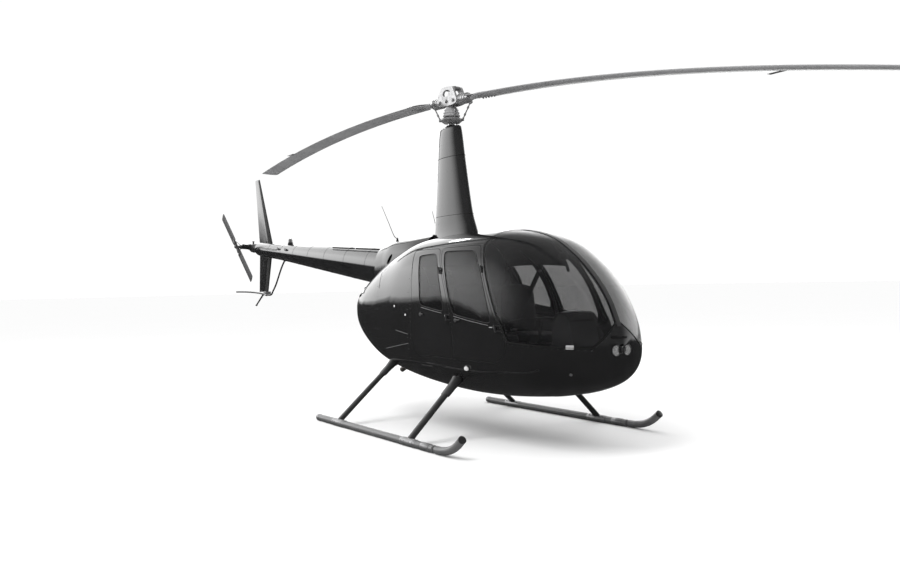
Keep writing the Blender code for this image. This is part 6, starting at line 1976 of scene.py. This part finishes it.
def build_cabin_lining():
    """Carpet on the floor, door cards, the headliner and the frames inside the skin."""
    floor = mesh_object("floor_carpet", body_slice(0.176, 2.235, 0.6196, 0.6204))
    finish(floor, "carpet", "airframe", (), 30)
    for port in (False, True):
        side = "left" if port else "right"
        centre = -math.pi / 2 if port else math.pi / 2
        for which, x_low, x_high, low, high in (
            ("front", 0.990, 1.640, 0.790, 1.040), ("rear", 0.260, 0.900, 0.790, 1.130),
        ):
            card = mesh_object(f"{which}_door_card_{side}", body_panel(x_low - 0.1, x_high + 0.1, centre - 0.8, centre + 0.8, 36, 40, 0.006, SKIN + 0.001))
            lower = 1.66 if which == "front" else 0.880
            outline = rounded([(x_low, high), (x_high - 0.06, high - 0.08), (x_high - 0.05, low + 0.02), (x_low, low)], 3, 0.2)
            carve(card, keeps=[side_cutter("card_edge", outline, port)])
            finish(card, "moulded_grey", f"door_{which}_{side}", (), 30)
    liner = mesh_object("headliner", body_panel(0.200, 1.140, -0.98, 0.98, 30, 40, 0.006, SKIN + 0.002))
    finish(liner, "liner_grey", "airframe", (), 30)
    wall = []
    for y in (-0.30, 0.0, 0.30):
        wall.append(block((0.1752, y - 0.135, 1.420), (0.1790, y + 0.135, 1.700), 0.0015))
    piece("bulkhead_pads", joined(wall), "moulded_grey", merge=0)
    frames = []
    for port in (False, True):
        run = [on_side(p.x - 0.016, p.z, SKIN + 0.010, port) for p in even_run([(x, 0, z) for x, z in MID_POST], 0.05)]
        frames.append(tube(run, 0.010, 12, 0.016, X))
        run = [on_side(p.x - 0.016, p.z, SKIN + 0.010, port) for p in even_run([(x, 0, z) for x, z in WINDSHIELD_EDGE[:-1]], 0.05)]
        frames.append(tube(run, 0.010, 12, 0.016, X))
    bow = [on_section(1.150, a, SKIN + 0.010) for a in np.linspace(-1.05, 1.05, 25)]
    frames.append(tube(bow, 0.010, 12, 0.018, X))
    piece("cabin_frames", joined(frames), "satin_black", merge=0)


def body_slice(x_low, x_high, z_low, z_high):
    """A level slab of the cabin's inside."""
    rim = []
    for port in (False, True):
        run = [on_side(x, z_high, SKIN + 0.002, port) for x in np.linspace(x_low, x_high, 40)]
        rim += [(v.x, v.y) for v in (run if not port else run[::-1])]
    return plate(rim, "Z", z_low, z_high)


GROUND = cutter("ground", block((-2, -2, -1), (3, 2, 0.0)))
build_body()
build_cowls()
build_upper_cowling()
build_tail_cone()
build_fins()
build_tail_rotor()
build_main_rotor()
build_landing_gear()
build_door_trim()
build_windshield_trim()
build_cowl_details()
build_lamps()
build_fan()
build_seats()
build_cockpit()
build_cabin_lining()
for name, finish_name in (("cabin_floor", "satin_black"), ("firewall", "moulded_grey"), ("engine_block", "engine_metal")):
    carried = bpy.data.objects[name]
    for holder in carried.material_slots:
        holder.material = look(finish_name)

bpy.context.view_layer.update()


def studio():
    """The floor, the light and the camera."""
    floor = bmesh.new()
    bmesh.ops.create_grid(floor, x_segments=1, y_segments=1, size=200.0)
    bmesh.ops.translate(floor, vec=(0, 0, -0.002), verts=floor.verts)
    ground = mesh_object("studio_floor", floor)
    pale = look("pale_floor")
    pale.node_tree.nodes["Principled BSDF"].inputs["Specular IOR Level"].default_value = 0.0
    ground.data.materials.append(pale)
    ground.visible_glossy = False
    tree = bpy.context.scene.world.node_tree if bpy.context.scene.world.use_nodes else None
    if tree is None:
        bpy.context.scene.world.use_nodes = True
        tree = bpy.context.scene.world.node_tree
    tree.nodes.clear()
    out = node(tree, "ShaderNodeOutputWorld")
    sky = node(tree, "ShaderNodeBackground")
    place = node(tree, "ShaderNodeTexCoord")
    parts = node(tree, "ShaderNodeSeparateXYZ")
    tree.links.new(place.outputs["Generated"], parts.inputs[0])
    ramp = node(tree, "ShaderNodeValToRGB")
    ramp.color_ramp.elements[0].position = 0.0
    ramp.color_ramp.elements[0].color = (0.012, 0.012, 0.012, 1)
    ramp.color_ramp.elements[1].position = 1.0
    ramp.color_ramp.elements[1].color = (0.15, 0.15, 0.15, 1)
    for position, value in (
        (0.500, 0.014), (0.536, 0.022), (0.541, 0.30), (0.548, 0.36), (0.553, 0.80), (0.60, 0.95),
        (0.67, 1.0), (0.75, 0.62), (0.80, 0.34), (0.834, 0.20),
    ):
        stop = ramp.color_ramp.elements.new(position)
        stop.color = (value, value, value, 1)
    lift = node(tree, "ShaderNodeMapRange")
    lift.inputs["From Min"].default_value = -1.0
    lift.inputs["From Max"].default_value = 1.0
    ridge = node(tree, "ShaderNodeTexNoise")
    ridge.inputs["Scale"].default_value = 4.5
    ridge.inputs["Detail"].default_value = 6.0
    ridge.inputs["Roughness"].default_value = 0.62
    level = node(tree, "ShaderNodeCombineXYZ")
    tree.links.new(parts.outputs["X"], level.inputs["X"])
    tree.links.new(parts.outputs["Y"], level.inputs["Y"])
    tree.links.new(level.outputs[0], ridge.inputs["Vector"])
    skyline = node(tree, "ShaderNodeMath", operation="MULTIPLY_ADD")
    skyline.inputs[1].default_value = -0.16
    tree.links.new(ridge.outputs["Fac"], skyline.inputs[0])
    tree.links.new(parts.outputs["Z"], skyline.inputs[2])
    evened = node(tree, "ShaderNodeMath", operation="ADD")
    evened.inputs[1].default_value = 0.112
    tree.links.new(skyline.outputs[0], evened.inputs[0])
    tree.links.new(evened.outputs[0], lift.inputs["Value"])
    tree.links.new(lift.outputs["Result"], ramp.inputs["Fac"])
    toward = node(tree, "ShaderNodeVectorMath", operation="DOT_PRODUCT")
    toward.inputs[1].default_value = (math.cos(math.radians(152)), math.sin(math.radians(152)), 0.25)
    tree.links.new(place.outputs["Generated"], toward.inputs[0])
    side_light = node(tree, "ShaderNodeMapRange", interpolation_type="SMOOTHSTEP")
    for label, value in (("From Min", -0.12), ("From Max", 0.50), ("To Min", 0.06), ("To Max", 1.0)):
        side_light.inputs[label].default_value = value
    tree.links.new(toward.outputs["Value"], side_light.inputs["Value"])
    shaded = node(tree, "ShaderNodeMix", data_type="RGBA", blend_type="MULTIPLY")
    shaded.inputs["Factor"].default_value = 1.0
    tree.links.new(ramp.outputs["Color"], shaded.inputs["A"])
    tree.links.new(side_light.outputs["Result"], shaded.inputs["B"])
    tree.links.new(shaded.outputs["Result"], sky.inputs["Color"])
    sky.inputs["Strength"].default_value = 2.9
    even = node(tree, "ShaderNodeBackground")
    even.inputs["Color"].default_value = (1, 1, 1, 1)
    even.inputs["Strength"].default_value = 1.06
    white = node(tree, "ShaderNodeBackground")
    white.inputs["Color"].default_value = (1, 1, 1, 1)
    white.inputs["Strength"].default_value = 1.03
    ray = node(tree, "ShaderNodeLightPath")
    first = node(tree, "ShaderNodeMixShader")
    second = node(tree, "ShaderNodeMixShader")
    tree.links.new(ray.outputs["Is Glossy Ray"], first.inputs["Fac"])
    tree.links.new(even.outputs[0], first.inputs[1])
    tree.links.new(sky.outputs[0], first.inputs[2])
    tree.links.new(ray.outputs["Is Camera Ray"], second.inputs["Fac"])
    tree.links.new(first.outputs[0], second.inputs[1])
    tree.links.new(white.outputs[0], second.inputs[2])
    tree.links.new(second.outputs[0], out.inputs["Surface"])
    for name, spot, size, power, mirrored in (
        ("key_light", (2.0, -7.0, 10.0), 6.0, 700.0, False),
        ("fill_light", (-8.0, 6.0, 9.0), 6.0, 300.0, False),
        ("roof_glint", (-9.6, 2.5, 8.05), 0.75, 60.0, True),
    ):
        lamp = bpy.data.lights.new(name, "AREA")
        lamp.size = size
        lamp.energy = power
        holder = bpy.data.objects.new(name, lamp)
        holder.location = Vector(spot) + Vector((MAST_X, 0, 0))
        holder.rotation_euler = (Vector((0, 0, 1)) - Vector(spot)).to_track_quat("-Z", "Y").to_euler()
        holder.visible_glossy = mirrored
        bpy.context.scene.collection.objects.link(holder)
    yaw, pitch, roll = math.radians(147.649), math.radians(-0.388), math.radians(-1.174)
    ahead = Vector((math.cos(yaw) * math.cos(pitch), math.sin(yaw) * math.cos(pitch), math.sin(pitch)))
    right = Vector((math.sin(yaw), -math.cos(yaw), 0))
    up = right.cross(ahead)
    right, up = math.cos(roll) * right + math.sin(roll) * up, math.cos(roll) * up - math.sin(roll) * right
    turn = Matrix((right, up, -ahead)).transposed().to_4x4()
    lens = bpy.data.cameras.new("photo_camera")
    lens.sensor_width = 36.0
    lens.lens = 35.634
    camera = bpy.data.objects.new("photo_camera", lens)
    camera.matrix_world = Matrix.Translation((7.693 + MAST_X, -4.935, 1.411)) @ turn
    bpy.context.scene.collection.objects.link(camera)
    bpy.context.scene.camera = camera


studio()
for made in list(workshop.objects):
    bpy.data.objects.remove(made, do_unlink=True)
